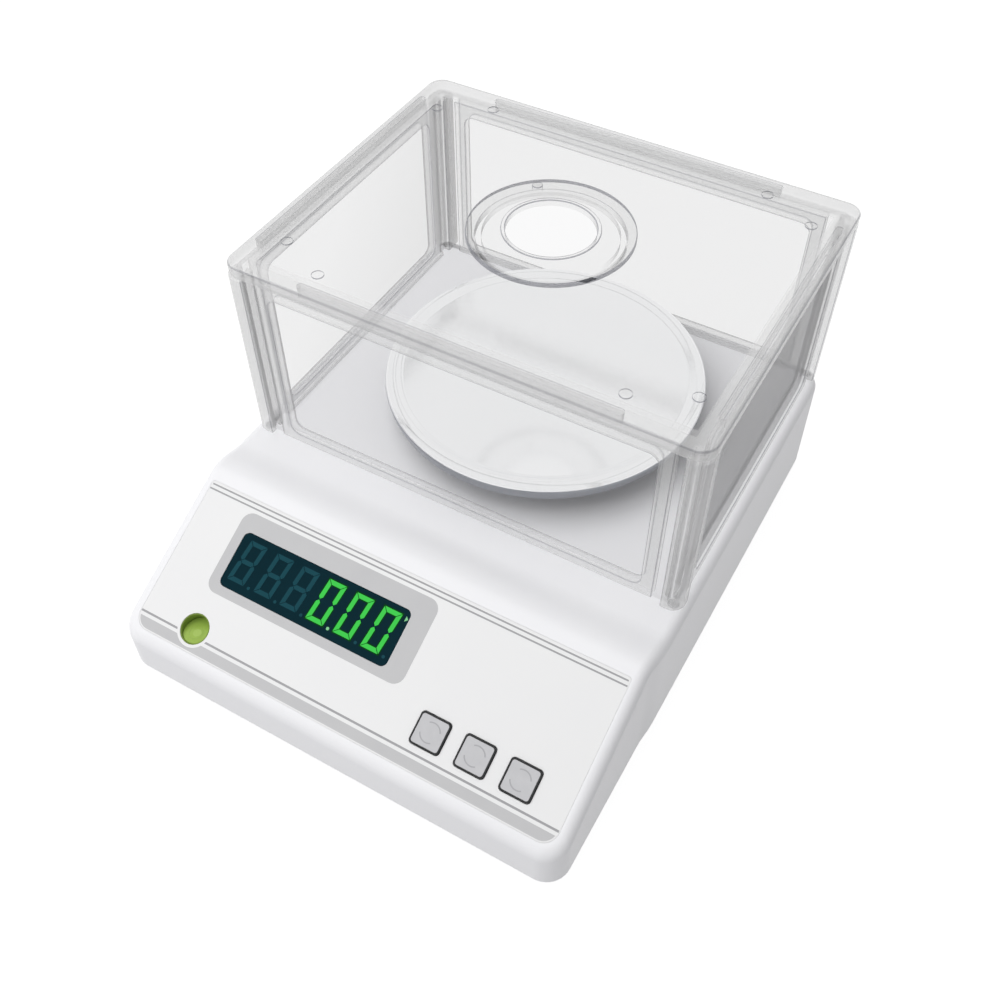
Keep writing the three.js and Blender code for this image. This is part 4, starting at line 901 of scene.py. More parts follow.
@dataclass
class CaseTop(Assembly):
    """The white moulded case top.

    Attributes are its sizes: the box, the deck's meeting line with the front wall, the brow, the radii,
    the wall, how far the sides lean in, and the ledge by which the platform's flanks stand out. The
    hollow's top is drawn in by more than the wall, by roof_share. A rim lies between a face whose normal
    rises by less than wall_tilt and one whose normal rises by more than roof_tilt.
    """

    width: float = 191.0
    depth: float = 238.398
    ground: float = 8.0
    platform: float = 47.5
    front_wall: float = 18.7
    brow_rise: float = 2.8
    brow_radius: float = 10.5
    brow_run: float = 16.0
    brow_steps: int = 12
    corner_radius: float = 9.4
    rim_radius: float = 4.2
    wall_tilt: float = 0.2
    roof_tilt: float = 0.5
    wall: float = 2.5
    roof_share: float = 1.15
    lean: float = 0.7
    ledge: float = 0.799
    ledge_run: float = 12.0
    ledge_steps: int = 6
    hub_radius: float = 12.0
    collar_wall: float = 3.0
    collar_rise: float = 1.4
    collar_edge: float = 0.3
    boss_radius: float = 3.6
    boss_depth: float = 4.0
    crease: float = 32.0

    def top(self) -> float:
        """Gives the platform's height above the bench."""
        return self.ground + self.platform

    def side_outline(self, slope: float) -> list[Point]:
        """Lists the case's side view from the front foot over the top to the rear foot.

        Args:
            slope: the deck's angle in degrees.

        Returns:
            Points in y and z.
        """
        turn = math.radians(slope)
        half = self.depth / 2
        crest = self.top() + self.brow_rise - self.brow_radius
        rise = (crest - self.ground - self.front_wall) * math.cos(turn) + self.brow_radius
        brow_y = -half + rise / math.sin(turn)
        points = [(-half, self.ground), (-half, self.ground + self.front_wall)]
        points += arc((brow_y, crest), self.brow_radius, 90 + slope, 90, steps=8)
        for i in range(1, self.brow_steps + 1):
            share = i / self.brow_steps
            fall = (1 - math.cos(math.pi * share)) / 2
            points.append((brow_y + self.brow_run * share, self.top() + self.brow_rise * (1 - fall)))
        points += [(half, self.top()), (half, self.ground)]
        return points

    def shell(self, slope: float, inset: float) -> BMesh:
        """Makes the case's outer form, or its hollow.

        Args:
            slope: the deck's angle in degrees.
            inset: 0 for the outside, or the wall's thickness for the hollow.

        Returns:
            A closed form.
        """
        outline = self.side_outline(slope)
        across = Matrix(((0, 0, 1, -self.width / 2), (1, 0, 0, 0), (0, 1, 0, 0), (0, 0, 0, 1)))
        form = placed(prism(outline, self.width), across)
        bmesh.ops.recalc_face_normals(form, faces=form.faces)
        soften(form, edges_where(form, is_upright), self.corner_radius, steps=10)
        form.normal_update()
        soften(form, self.upper_rim(form), self.rim_radius, steps=6)
        if inset > 0:
            self.shrink(form, inset)
        self.shape_flanks(form, outline)
        return form

    def upper_rim(self, form: BMesh) -> list[bmesh.types.BMEdge]:
        """Lists the edges between the upper surfaces and the walls.

        Args:
            form: the case's form with its upright corners rounded.

        Returns:
            The edges.
        """
        found = []
        for edge in form.edges:
            tilts = sorted(face.normal.z for face in edge.link_faces)
            if len(tilts) == 2 and abs(tilts[0]) < self.wall_tilt and tilts[1] > self.roof_tilt:
                found.append(edge)
        return found

    def shrink(self, form: BMesh, inset: float) -> None:
        """Draws a form in on its sides and top, for the hollow.

        Args:
            form: the outer form.
            inset: how far it is drawn in.
        """
        for vert in form.verts:
            vert.co.x *= 1 - 2 * inset / self.width
            vert.co.y *= 1 - 2 * inset / self.depth
            if vert.co.z < self.ground + CLOSE:
                vert.co.z = self.ground - OVERRUN
            else:
                vert.co.z -= inset * self.roof_share

    def shape_flanks(self, form: BMesh, outline: Sequence[Point]) -> None:
        """Leans the flanks in and lets those of the platform stand out.

        Args:
            form: the form to change.
            outline: the side view, for where the brow falls to the platform.
        """
        end = outline[-3][0] - self.brow_run / 2
        start = end - self.ledge_run
        for step in range(self.ledge_steps + 1):
            sliced(form, (0.0, start + self.ledge_run * step / self.ledge_steps, 0.0), (0.0, 1.0, 0.0))
        half = self.width / 2
        for vert in form.verts:
            share = min(1.0, max(0.0, (vert.co.y - start) / self.ledge_run))
            stand = self.ledge * (1 - math.cos(math.pi * share)) / 2
            lean = self.lean * (vert.co.z - self.ground) / self.platform
            vert.co.x *= 1 + (stand - lean) / half

    def build(self, controls: "ControlDeck", shield: "WindShield", rear: "RearWall") -> None:
        """Makes the case top with its hollow, its openings and its collar.

        Args:
            controls: what sits in the deck.
            shield: whose pegs stand in the platform.
            rear: what sits in the rear wall.
        """
        outer = self.shell(controls.deck.slope, 0.0)
        hollow = self.shell(controls.deck.slope, self.wall)
        collar = disc(self.hub_radius + self.collar_wall, self.collar_rise + OVERRUN,
                      (*AXIS, self.top() - OVERRUN), self.collar_edge)
        hub = disc(self.hub_radius, self.wall * 4, (*AXIS, self.top() - self.wall * 2))
        body = combined(outer, [hollow], Solid.CUT)
        low = self.top() - self.wall / 2 - self.boss_depth
        bosses = [disc(self.boss_radius, self.boss_depth, (x, y, low))
                  for x, y in map(shield.post_middle, Corner)]
        body = combined(body, [collar, *bosses], Solid.JOIN)
        holes = [disc(shield.peg_radius + ROOM, shield.peg_length + OVERRUN,
                      (x, y, self.top() - shield.peg_length), facets=32)
                 for x, y in map(shield.post_middle, Corner)]
        cutters = [hub, *holes, *rear.cutters()]
        cutters += [placed(form, controls.place) for form in controls.cutters(self.wall)]
        body = combined(body, cutters, Solid.CUT)
        self.piece(body, "case_top", "case", "case", "white_abs", ["upper_case"], self.crease)


# The control deck


@dataclass
class SevenSegment:
    """One seven-segment figure.

    Attributes:
        width: its outer width.
        height: its outer height.
        stroke: the strokes' width.
        gap: bare space along the outline at each stroke's end.
        slant: how far the foot is drawn to the left.
        rise: how far the strokes stand out of the window.
    """

    width: float = 7.75
    height: float = 16.85
    stroke: float = 1.75
    gap: float = 0.18
    slant: float = 1.68
    rise: float = 0.05

    def strokes(self) -> dict[str, list[Point]]:
        """Lists each stroke's corners.

        Returns:
            The corners by the stroke's usual letter, from the figure's top left with y up.
        """
        w, h, t, g = self.width, self.height, self.stroke, self.gap
        middle = h / 2
        top = [(g, 0.0), (w - g, 0.0), (w - g - t, -t), (g + t, -t)]
        left = [(0.0, -g), (t, -g - t), (t, g + t / 2 - middle), (t / 2, g - middle),
                (0.0, g + t / 2 - middle)]
        bar = [(g + t / 2, 0.0), (g + t, t / 2), (w - g - t, t / 2), (w - g - t / 2, 0.0),
               (w - g - t, -t / 2), (g + t, -t / 2)]
        right = [(w - x, y) for x, y in left]
        return {
            "a": top,
            "b": right,
            "c": [(x, -h - y) for x, y in right],
            "d": [(x, -h - y) for x, y in top],
            "e": [(x, -h - y) for x, y in left],
            "f": left,
            "g": [(x, y - middle) for x, y in bar],
        }

    def form(self, letters: str, x: float, y: float) -> BMesh:
        """Makes the named strokes of one figure.

        Args:
            letters: the strokes' letters.
            x: the figure's left edge.
            y: the figure's top edge.

        Returns:
            The strokes as one mesh in the deck's frame.
        """
        strokes = self.strokes()
        return merged([
            prism([(x + px + self.slant * py / self.height, y + py) for px, py in strokes[letter]], self.rise)
            for letter in letters
        ])

    def spread(self, by: float) -> "SevenSegment":
        """Gives the figure with its strokes spread on all sides.

        Args:
            by: how far each edge is moved out.

        Returns:
            The wider figure, which starts that much further left and up, and lies flatter.
        """
        return SevenSegment(
            self.width + 2 * by, self.height + 2 * by, self.stroke + 2 * by, 0.0, self.slant, self.rise / 2
        )


@dataclass
class ControlDeck(Assembly):
    """Film, window, figures, keys and level on the sloping deck.

    Places down the slope are s, from the film's top edge; the deck's own y is minus s. The stripes' lines
    are half their length, and their upper and lower edge from the deck's line.
    """

    deck: DeckPlane = DeckPlane()
    film_width: float = 180.6
    film_length: float = 62.6
    film_radius: float = 6.0
    film_top_radius: float = 1.2
    film_edge: float = 0.06
    film_room: float = 0.55
    film_gap: float = 0.05
    punch: float = 3.0
    ink: float = 0.05
    band_inset: float = 0.6
    band_drop: float = 56.4
    lines: tuple[Place, ...] = ((89.6, -0.6, 0.0), (90.0, 1.3, 1.9), (90.0, 54.3, 55.1))
    window_x: float = -28.9
    window_s: float = 23.6
    window_width: float = 75.4
    window_height: float = 22.6
    window_radius: float = 2.6
    window_edge: float = 0.25
    window_thickness: float = 2.0
    window_ledge: float = 1.8
    bezel_left: float = -70.8
    bezel_right: float = 17.2
    bezel_top: float = 5.0
    bezel_foot: float = 38.6
    bezel_radius: float = 4.5
    figures_s: float = 14.7
    figure_xs: tuple[float, ...] = (-62.7, -50.3, -38.4, -26.35, -14.15, -2.0)
    halo: float = 0.45
    point_radius: float = 0.65
    point_x: float = 8.4
    point_s: float = 31.4
    arrow: tuple[Point, ...] = ((7.3, -16.9), (8.5, -15.8), (7.4, -14.7))
    lit_from: int = 3
    key_size: float = 11.9
    key_radius: float = 1.6
    key_edge: float = 0.5
    key_xs: tuple[float, ...] = (35.0, 53.0, 71.0)
    key_s: float = 47.4
    key_proud: float = 0.7
    key_depth: float = 3.3
    key_flange: float = 1.0
    key_flange_foot: float = 3.7
    key_flange_height: float = 0.9
    stem_radius: float = 2.2
    stem_foot: float = 4.5
    stem_height: float = 1.3
    outline_width: float = 0.6
    outline_wrap: float = 0.05
    outline_skirt: float = 0.4
    outline_edge: float = 0.2
    outline_radius: float = 1.0
    arc_radius: float = 3.9
    arc_width: float = 0.45
    arc_turns: tuple[Point, ...] = ((200, 300), (20, 120))
    level_x: float = -66.0
    level_s: float = 53.7
    level_radius: float = 6.0
    level_depth: float = 9.5
    level_wall: float = 0.45
    level_room: float = 0.1
    level_drop: float = 0.5
    level_margin: float = 1.2
    cup_outer_edge: float = 0.25
    cup_inner_edge: float = 0.2
    liquid_lift: float = 0.3
    bubble_radius: float = 1.7
    bubble_height: float = 0.1
    bubble_edge: float = 0.04
    bubble_shift: Point = (0.4, 0.2)
    mark_inner: float = 2.6
    mark_outer: float = 2.8
    mark_height: float = 0.05

    def __post_init__(self) -> None:
        """Works out where the deck lies."""
        self.place = self.deck.matrix()

    def cutters(self, wall: float) -> list[BMesh]:
        """Makes the forms that open the case's deck, in the deck's frame.

        Args:
            wall: the case's wall.

        Returns:
            One closed form for each opening, the film's recess first.
        """
        deep = wall + 3 * OVERRUN
        film = self.film_form(self.film_gap, self.film_room + OVERRUN, -self.film_room)
        window = self.window_hole(2 * OVERRUN + self.film_room, -self.window_thickness - ROOM)
        opening = block(
            (self.window_width - 2 * self.window_ledge, self.window_height - 2 * self.window_ledge, deep),
            (self.window_x, -self.window_s, -deep),
        )
        level = disc(self.level_radius + self.film_gap, deep + OVERRUN, (self.level_x, -self.level_s, -deep))
        side = self.key_size + 2 * ROOM
        keys = [block((side, side, deep + OVERRUN), (x, -self.key_s, -deep), self.key_radius, steps=5)
                for x in self.key_xs]
        return [film, window, opening, level, *keys]

    def film_form(self, grow: float, height: float, foot: float) -> BMesh:
        """Makes the film's outline as a block.

        Args:
            grow: how far its sides are moved out.
            height: its height.
            foot: its lower face.

        Returns:
            The new mesh.
        """
        middle = -self.film_length / 2
        size = (self.film_width + 2 * grow, self.film_length + 2 * grow, height)
        form = block(size, (0.0, middle, foot))
        low = [edge for edge in edges_where(form, is_upright) if edge.verts[0].co.y < middle]
        high = [edge for edge in edges_where(form, is_upright) if edge.verts[0].co.y > middle]
        soften(form, low, self.film_radius, steps=8)
        soften(form, [edge for edge in high if edge.is_valid], self.film_top_radius, steps=4)
        return form

    def window_hole(self, height: float, foot: float) -> BMesh:
        """Makes a block a little wider than the window.

        Args:
            height: its height.
            foot: its lower face.

        Returns:
            The new mesh.
        """
        size = (self.window_width + 2 * self.film_gap, self.window_height + 2 * self.film_gap, height)
        return block(size, (self.window_x, -self.window_s, foot), self.window_radius)

    def band(self, left: float, right: float, top: float, foot: float, radius: float = 0.0) -> BMesh:
        """Makes a printed stripe on the film, in the deck's frame.

        Args:
            left: its left end.
            right: its right end.
            top: s of its upper edge.
            foot: s of its lower edge.
            radius: its corners' radius.

        Returns:
            The new mesh.
        """
        size = (right - left, foot - top, self.ink)
        return block(size, ((left + right) / 2, -(top + foot) / 2, 0.0), radius, steps=6)

    def lay(
        self, form: BMesh, name: str, slot: str, finish: str, replaces: Sequence[str] = (), body: str = "case"
    ) -> None:
        """Hands over a piece that was made in the deck's frame.

        Args:
            form: its mesh; it is used up.
            name: its name.
            slot: the record's slot, handed on to piece.
            finish: its finish.
            replaces: the solids that it stands for.
            body: the body that it moves with.
        """
        self.piece(placed(form, self.place), name, body, slot, finish, replaces)

    def build(self) -> None:
        """Makes the film, the prints, the window, the figures, the keys and the level."""
        self.build_film()
        self.build_prints()
        self.build_window()
        for number, x in enumerate(self.key_xs, start=1):
            self.build_key(number, x)
        self.build_level()

    def build_film(self) -> None:
        """Makes the printed film with its cut-outs."""
        sheet = self.film_form(0.0, self.deck.film, -self.deck.film)
        soften(sheet, rims(sheet, 0.0), self.film_edge, steps=2)
        sheet = combined(sheet, self.cutters(self.punch)[1:], Solid.CUT)
        self.lay(sheet, "deck_film", "film", "deck_film", ["deck_overlay"])

    def build_prints(self) -> None:
        """Makes the grey bezel and the stripes, which stop short of the level."""
        bezel = self.band(
            self.bezel_left, self.bezel_right, self.bezel_top, self.bezel_foot, self.bezel_radius
        )
        bezel = combined(bezel, [self.window_hole(2 * OVERRUN, -OVERRUN)], Solid.CUT)
        self.lay(bezel, "bezel_print", "film", "grey_ink")
        line = self.deck.line
        band = prism(self.foot_band(line + self.band_drop), self.ink)
        thin = merged([self.band(-half, half, line + top, line + foot) for half, top, foot in self.lines])
        for form, name, finish in ((band, "band_print", "grey_ink"), (thin, "line_print", "line_ink")):
            level = disc(self.level_radius + self.level_margin, 4 * OVERRUN,
                         (self.level_x, -self.level_s, -2 * OVERRUN))
            self.lay(combined(form, [level], Solid.CUT), name, "film", finish)

    def foot_band(self, top: float) -> list[Point]:
        """Lists the corners of the grey stripe that follows the film's rounded foot.

        Args:
            top: s of its upper edge.

        Returns:
            The points, anticlockwise, in the deck's frame.
        """
        radius = self.film_radius - self.band_inset
        x = self.film_width / 2 - self.film_radius
        y = self.film_radius - self.film_length
        first = math.degrees(math.asin((-top - y) / radius))
        return [*arc((-x, y), radius, 180 - first, 270, steps=8),
                *arc((x, y), radius, 270, 360 + first, steps=8)]

    def build_window(self) -> None:
        """Makes the tinted window and its lit and unlit strokes."""
        window = block((self.window_width, self.window_height, self.window_thickness),
                       (self.window_x, -self.window_s, -self.window_thickness), self.window_radius)
        soften(window, rims(window, 0.0), self.window_edge, steps=2)
        self.lay(window, "tinted_window", "window", "teal_acrylic", ["display_window"])
        figure = SevenSegment()
        wide = figure.spread(self.halo)
        lit, dim, fringe, marks = [], [], [], []
        for number, x in enumerate(self.figure_xs):
            if number >= self.lit_from:
                lit.append(figure.form(ZERO, x, -self.figures_s))
                # Each lit figure gets a painted glow round it, its light's spill in the window.
                fringe.append(wide.form(ZERO, x - self.halo, self.halo - self.figures_s))
            else:
                dim.append(figure.form(EIGHT, x, -self.figures_s))
            point = disc(self.point_radius, figure.rise, (x + self.point_x, -self.point_s, 0.0), facets=24)
            (marks if number == self.lit_from else dim).append(point)
        marks.append(prism(self.arrow, figure.rise))
        for forms, name, finish in (
            (lit, "lit_figures", "lit_segment"), (fringe, "lit_painted_glow", "painted_segment_glow"),
            (dim, "dim_figures", "dim_segment"), (marks, "lit_marks", "pale_segment"),
        ):
            self.lay(merged(forms), name, "window", finish)

    def build_key(self, number: int, x: float) -> None:
        """Makes one key with its printed outline and its raised arcs.

        Args:
            number: the key's number.
            x: its middle.
        """
        body = f"key_{number}"
        y = -self.key_s
        cap = block((self.key_size, self.key_size, self.key_depth), (x, y, self.key_proud - self.key_depth),
                    self.key_radius, steps=6)
        soften(cap, rims(cap, self.key_proud), self.key_edge, steps=3)
        side = self.key_size + 2 * self.key_flange
        flange = block((side, side, self.key_flange_height), (x, y, -self.key_flange_foot), self.key_radius,
                       steps=5)
        stem = disc(self.stem_radius, self.stem_height, (x, y, -self.stem_foot), facets=32)
        key = combined(cap, [flange, stem], Solid.JOIN)
        self.lay(key, f"key_cap_{number}", "key", "key_silicone", [f"key_{number}"], body)
        outer = self.key_size + 2 * self.outline_wrap
        top = self.key_proud + self.ink
        ring = block((outer, outer, top + self.outline_skirt), (x, y, -self.outline_skirt),
                     self.key_radius + self.outline_wrap, steps=6)
        soften(ring, rims(ring, top), self.outline_edge, steps=3)
        inner = outer - 2 * self.outline_width
        hole = block((inner, inner, top + self.outline_skirt + 2 * OVERRUN),
                     (x, y, -self.outline_skirt - OVERRUN), self.outline_radius, steps=6)
        self.lay(combined(ring, [hole], Solid.CUT), f"key_outline_{number}", "key", "black_ink", body=body)
        arcs = []
        for start, end in self.arc_turns:
            outline = arc((0.0, 0.0), self.arc_radius, start, end, steps=10)
            outline += arc((0.0, 0.0), self.arc_radius - self.arc_width, end, start, steps=10)
            arcs.append(placed(prism(outline, self.ink), Matrix.Translation((x, y, self.key_proud))))
        self.lay(merged(arcs), f"key_arcs_{number}", "key", "key_arc", body=body)

    def build_level(self) -> None:
        """Makes the level's cup, liquid, bubble and ring mark."""
        x, y = centre = (self.level_x, -self.level_s)
        outer, inner = self.level_radius, self.level_radius - self.level_wall
        foot = -self.level_depth
        floor = foot + self.level_wall
        outline = [
            (0.0, foot), (outer, foot), (outer, -self.cup_outer_edge), (outer - self.cup_outer_edge, 0.0),
            (inner + self.cup_inner_edge, 0.0), (inner, -self.cup_inner_edge), (inner, floor), (0.0, floor),
        ]
        # The cup's darker olive is painted shade for its deep inner wall.
        self.lay(spun(outline, centre, facets=64), "level_ring", "cup", "olive_acrylic", ["level_cup"])
        radius = inner - self.level_room
        liquid = placed(disc(radius, -floor, (x, y, floor + self.liquid_lift)), self.place)
        nearest = self.place @ Vector((x, y - radius, -self.level_drop))
        cut = sliced(liquid, nearest, (0.0, 0.0, 1.0), clear=True)
        rim = [item for item in cut if isinstance(item, bmesh.types.BMEdge)]
        bmesh.ops.contextual_create(liquid, geom=rim)
        self.piece(liquid, "level_liquid", "case", "liquid", "level_liquid", ["level_vial"])
        middle = self.place @ Vector((x, y, 0.0))
        shift_x, shift_y = self.bubble_shift
        bubble = disc(self.bubble_radius, self.bubble_height,
                      (middle.x + shift_x, middle.y + shift_y, nearest.z), self.bubble_edge, facets=32)
        self.piece(bubble, "level_bubble", "case", "liquid", "level_bubble")
        low, high = nearest.z, nearest.z + self.mark_height
        ring = spun([(self.mark_inner, low), (self.mark_outer, low), (self.mark_outer, high),
                     (self.mark_inner, high)], (middle.x, middle.y), facets=48)
        self.piece(ring, "level_mark", "case", "liquid", "level_engraving")


# The wind shield


@dataclass
class WindShield(Assembly):
    """Posts and panels of the clear wind shield.

    A post's rounded corners are the faces whose normals have over corner_tilt along x and along y. A
    panel's rounded edges are those whose normals have from edge_least to edge_most across the panel.
    """

    width: float = 187.2
    depth: float = 145.3
    foot: float = 55.8
    top: float = 133.1
    post: float = 8.0
    post_radius: float = 5.2
    post_soft: float = 0.8
    corner_tilt: float = 0.6
    inset: float = 4.0
    plate: float = 2.0
    groove: float = 2.2
    reveal: float = 4.0
    border: float = 4.2
    border_side: float = 5.0
    border_top: float = 5.5
    border_foot: float = 4.2
    border_radius: float = 4.0
    flange: float = 5.4
    flange_height: float = 2.0
    tab_top: float = 138.2
    front_slot: float = 125.0
    side_slot: float = 112.0
    peg_radius: float = 1.8
    peg_length: float = 3.3
    edge: float = 0.35
    edge_least: float = 0.2
    edge_most: float = 0.95

    def build(self) -> None:
        """Makes the four posts and the four panels."""
        for corner in Corner:
            self.build_post(corner)
        for side in Side:
            self.build_panel(side)

    def post_middle(self, corner: Corner) -> Point:
        """Gives the middle of one post.

        Args:
            corner: which corner it stands at.

        Returns:
            Its place in x and y.
        """
        sign_x, sign_y = corner.value
        return (sign_x * (self.width - self.post) / 2, PAN_MIDDLE_MM + sign_y * (self.depth - self.post) / 2)

    def build_post(self, corner: Corner) -> None:
        """Makes one post with its two grooves and its peg.

        Args:
            corner: which corner it stands at.
        """
        sign_x, sign_y = corner.value
        x, y = self.post_middle(corner)
        height = self.top - self.foot
        column = block((self.post, self.post, height), (x, y, self.foot))
        outer = [edge for edge in edges_where(column, is_upright)
                 if (edge.verts[0].co.x - x) * sign_x > 0 and (edge.verts[0].co.y - y) * sign_y > 0]
        soften(column, outer, self.post_radius, steps=12)
        others = [edge for edge in edges_where(column, is_upright)
                  if abs(edge.verts[0].co.x - x) > self.post / 2 - CLOSE
                  and abs(edge.verts[0].co.y - y) > self.post / 2 - CLOSE]
        soften(column, others, self.post_soft, steps=3)
        column.normal_update()
        soften(column, rims(column, self.foot, self.top), self.edge, steps=3)
        gap = self.plate + 2 * ROOM
        reach = self.groove + OVERRUN
        inner = self.post / 2 - self.groove + reach / 2
        middle = self.post / 2 - self.inset
        tall = height + 2 * OVERRUN
        grooves = [
            block((reach, gap, tall), (x - sign_x * inner, y + sign_y * middle, self.foot - OVERRUN)),
            block((gap, reach, tall), (x + sign_x * middle, y - sign_y * inner, self.foot - OVERRUN)),
        ]
        column = combined(column, grooves, Solid.CUT)
        peg = disc(self.peg_radius, self.peg_length, (x, y, self.foot - self.peg_length), facets=32)
        name = f"post_{corner.name}"
        # The post's grey body is a painted reflection.
        made = self.piece(
            merged([column, peg]), f"clear_{name}", "wind_shield", "clear", "thick_acrylic", [name]
        )
        # The peg is painted light: opaque white over the shade in its hole.
        self.repaint(made, "peg_painted_light", lambda middle, _: middle.z < self.foot - SMALL)
        # The inner rounded corners get painted shade, drawn as thin grey lines.
        self.repaint(
            made, "edge_painted_shade",
            lambda middle, normal: middle.z > self.foot + self.edge
            and min(abs(normal.x), abs(normal.y)) > self.corner_tilt
            and ((middle.x - x) * sign_x < 0 or (middle.y - y) * sign_y < 0),
        )

    def build_panel(self, side: Side) -> None:
        """Makes one panel: a plate whose tongues enter the posts, with a thicker border.

        Args:
            side: which side it stands on.
        """
        along_x = side in (Side.front, Side.back)
        span = self.width if along_x else self.depth
        across = self.depth if along_x else self.width
        slot = self.front_slot if along_x else self.side_slot
        height = self.top - self.foot
        tongue_in = self.post - self.groove + ROOM
        border_in = self.post + self.reveal
        sheet = block((span - 2 * tongue_in, self.plate, height), (0.0, 0.0, self.foot))
        border_span = span - 2 * border_in
        border = block((border_span, self.border, height), (0.0, 0.0, self.foot))
        soften(border, border.edges[:], self.edge, steps=2)
        border = combined(border, [self.window(border_span, height)], Solid.CUT)
        border.normal_update()
        soften(border, self.window_rims(border, border_span, height), self.edge, steps=2)
        parts = [border]
        if not along_x:
            ledge = block((border_span, self.flange, self.flange_height),
                          (0.0, (self.flange - self.border) / 2, self.foot))
            soften(ledge, ledge.edges[:], self.edge, steps=2)
            parts.append(ledge)
        tab_foot = self.top - OVERRUN
        parts.append(block((slot - 2 * ROOM, self.plate, self.tab_top - tab_foot), (0.0, 0.0, tab_foot)))
        panel = combined(sheet, parts, Solid.JOIN)
        turn = Matrix.Rotation(math.radians(side.value), 4, "Z")
        out = turn @ Vector((0.0, -(across / 2 - self.inset), 0.0))
        matrix = Matrix.Translation((out.x, PAN_MIDDLE_MM + out.y, 0.0)) @ turn
        name = f"panel_{side.name}"
        made = self.piece(
            placed(panel, matrix), f"clear_{name}", "wind_shield", "clear", "clear_acrylic", [name]
        )
        back = matrix.inverted()
        # The border and the tabs get the grey body, a painted reflection.
        self.repaint(made, "thick_acrylic", lambda middle, _: abs((back @ middle).y) > self.plate / 2 + SMALL)
        self.repaint(made, "thick_acrylic", lambda middle, _: middle.z > self.top + SMALL)
        # The border's rounded edges get painted shade, drawn as thin grey lines.
        self.repaint(
            made, "edge_painted_shade",
            lambda middle, normal: middle.z > self.foot + self.flange_height + self.edge
            and abs((back @ middle).y) > self.border / 2 - self.edge + SMALL
            and self.edge_least < abs((back.to_3x3() @ normal).y) < self.edge_most,
        )

    def window_rims(self, border: BMesh, span: float, height: float) -> list[bmesh.types.BMEdge]:
        """Lists the edges round the window in a panel's border, on both of its faces.

        Args:
            border: the border with its window cut.
            span: the border's length.
            height: the panel's height.

        Returns:
            The edges.
        """
        found = []
        for edge in border.edges:
            middle = (edge.verts[0].co + edge.verts[1].co) / 2
            flat = all(abs(abs(vert.co.y) - self.border / 2) < CLOSE for vert in edge.verts)
            walls = any(abs(face.normal.y) < WALL for face in edge.link_faces)
            inside = abs(middle.x) < span / 2 - OVERRUN and OVERRUN < middle.z - self.foot < height - OVERRUN
            if flat and walls and inside:
                found.append(edge)
        return found

    def window(self, span: float, height: float) -> BMesh:
        """Makes the form that leaves a border round a panel's thin middle.

        Args:
            span: the border's length.
            height: the panel's height.

        Returns:
            A block through the border, with rounded corners.
        """
        wide = span - 2 * self.border_side
        high = height - self.border_top - self.border_foot
        form = block((wide, high, self.border + 2 * OVERRUN), (0.0, 0.0, -self.border / 2 - OVERRUN),
                     self.border_radius)
        lift = self.foot + height / 2 + (self.border_foot - self.border_top) / 2
        return placed(placed(form, quarter_turn("X")), Matrix.Translation((0.0, 0.0, lift)))


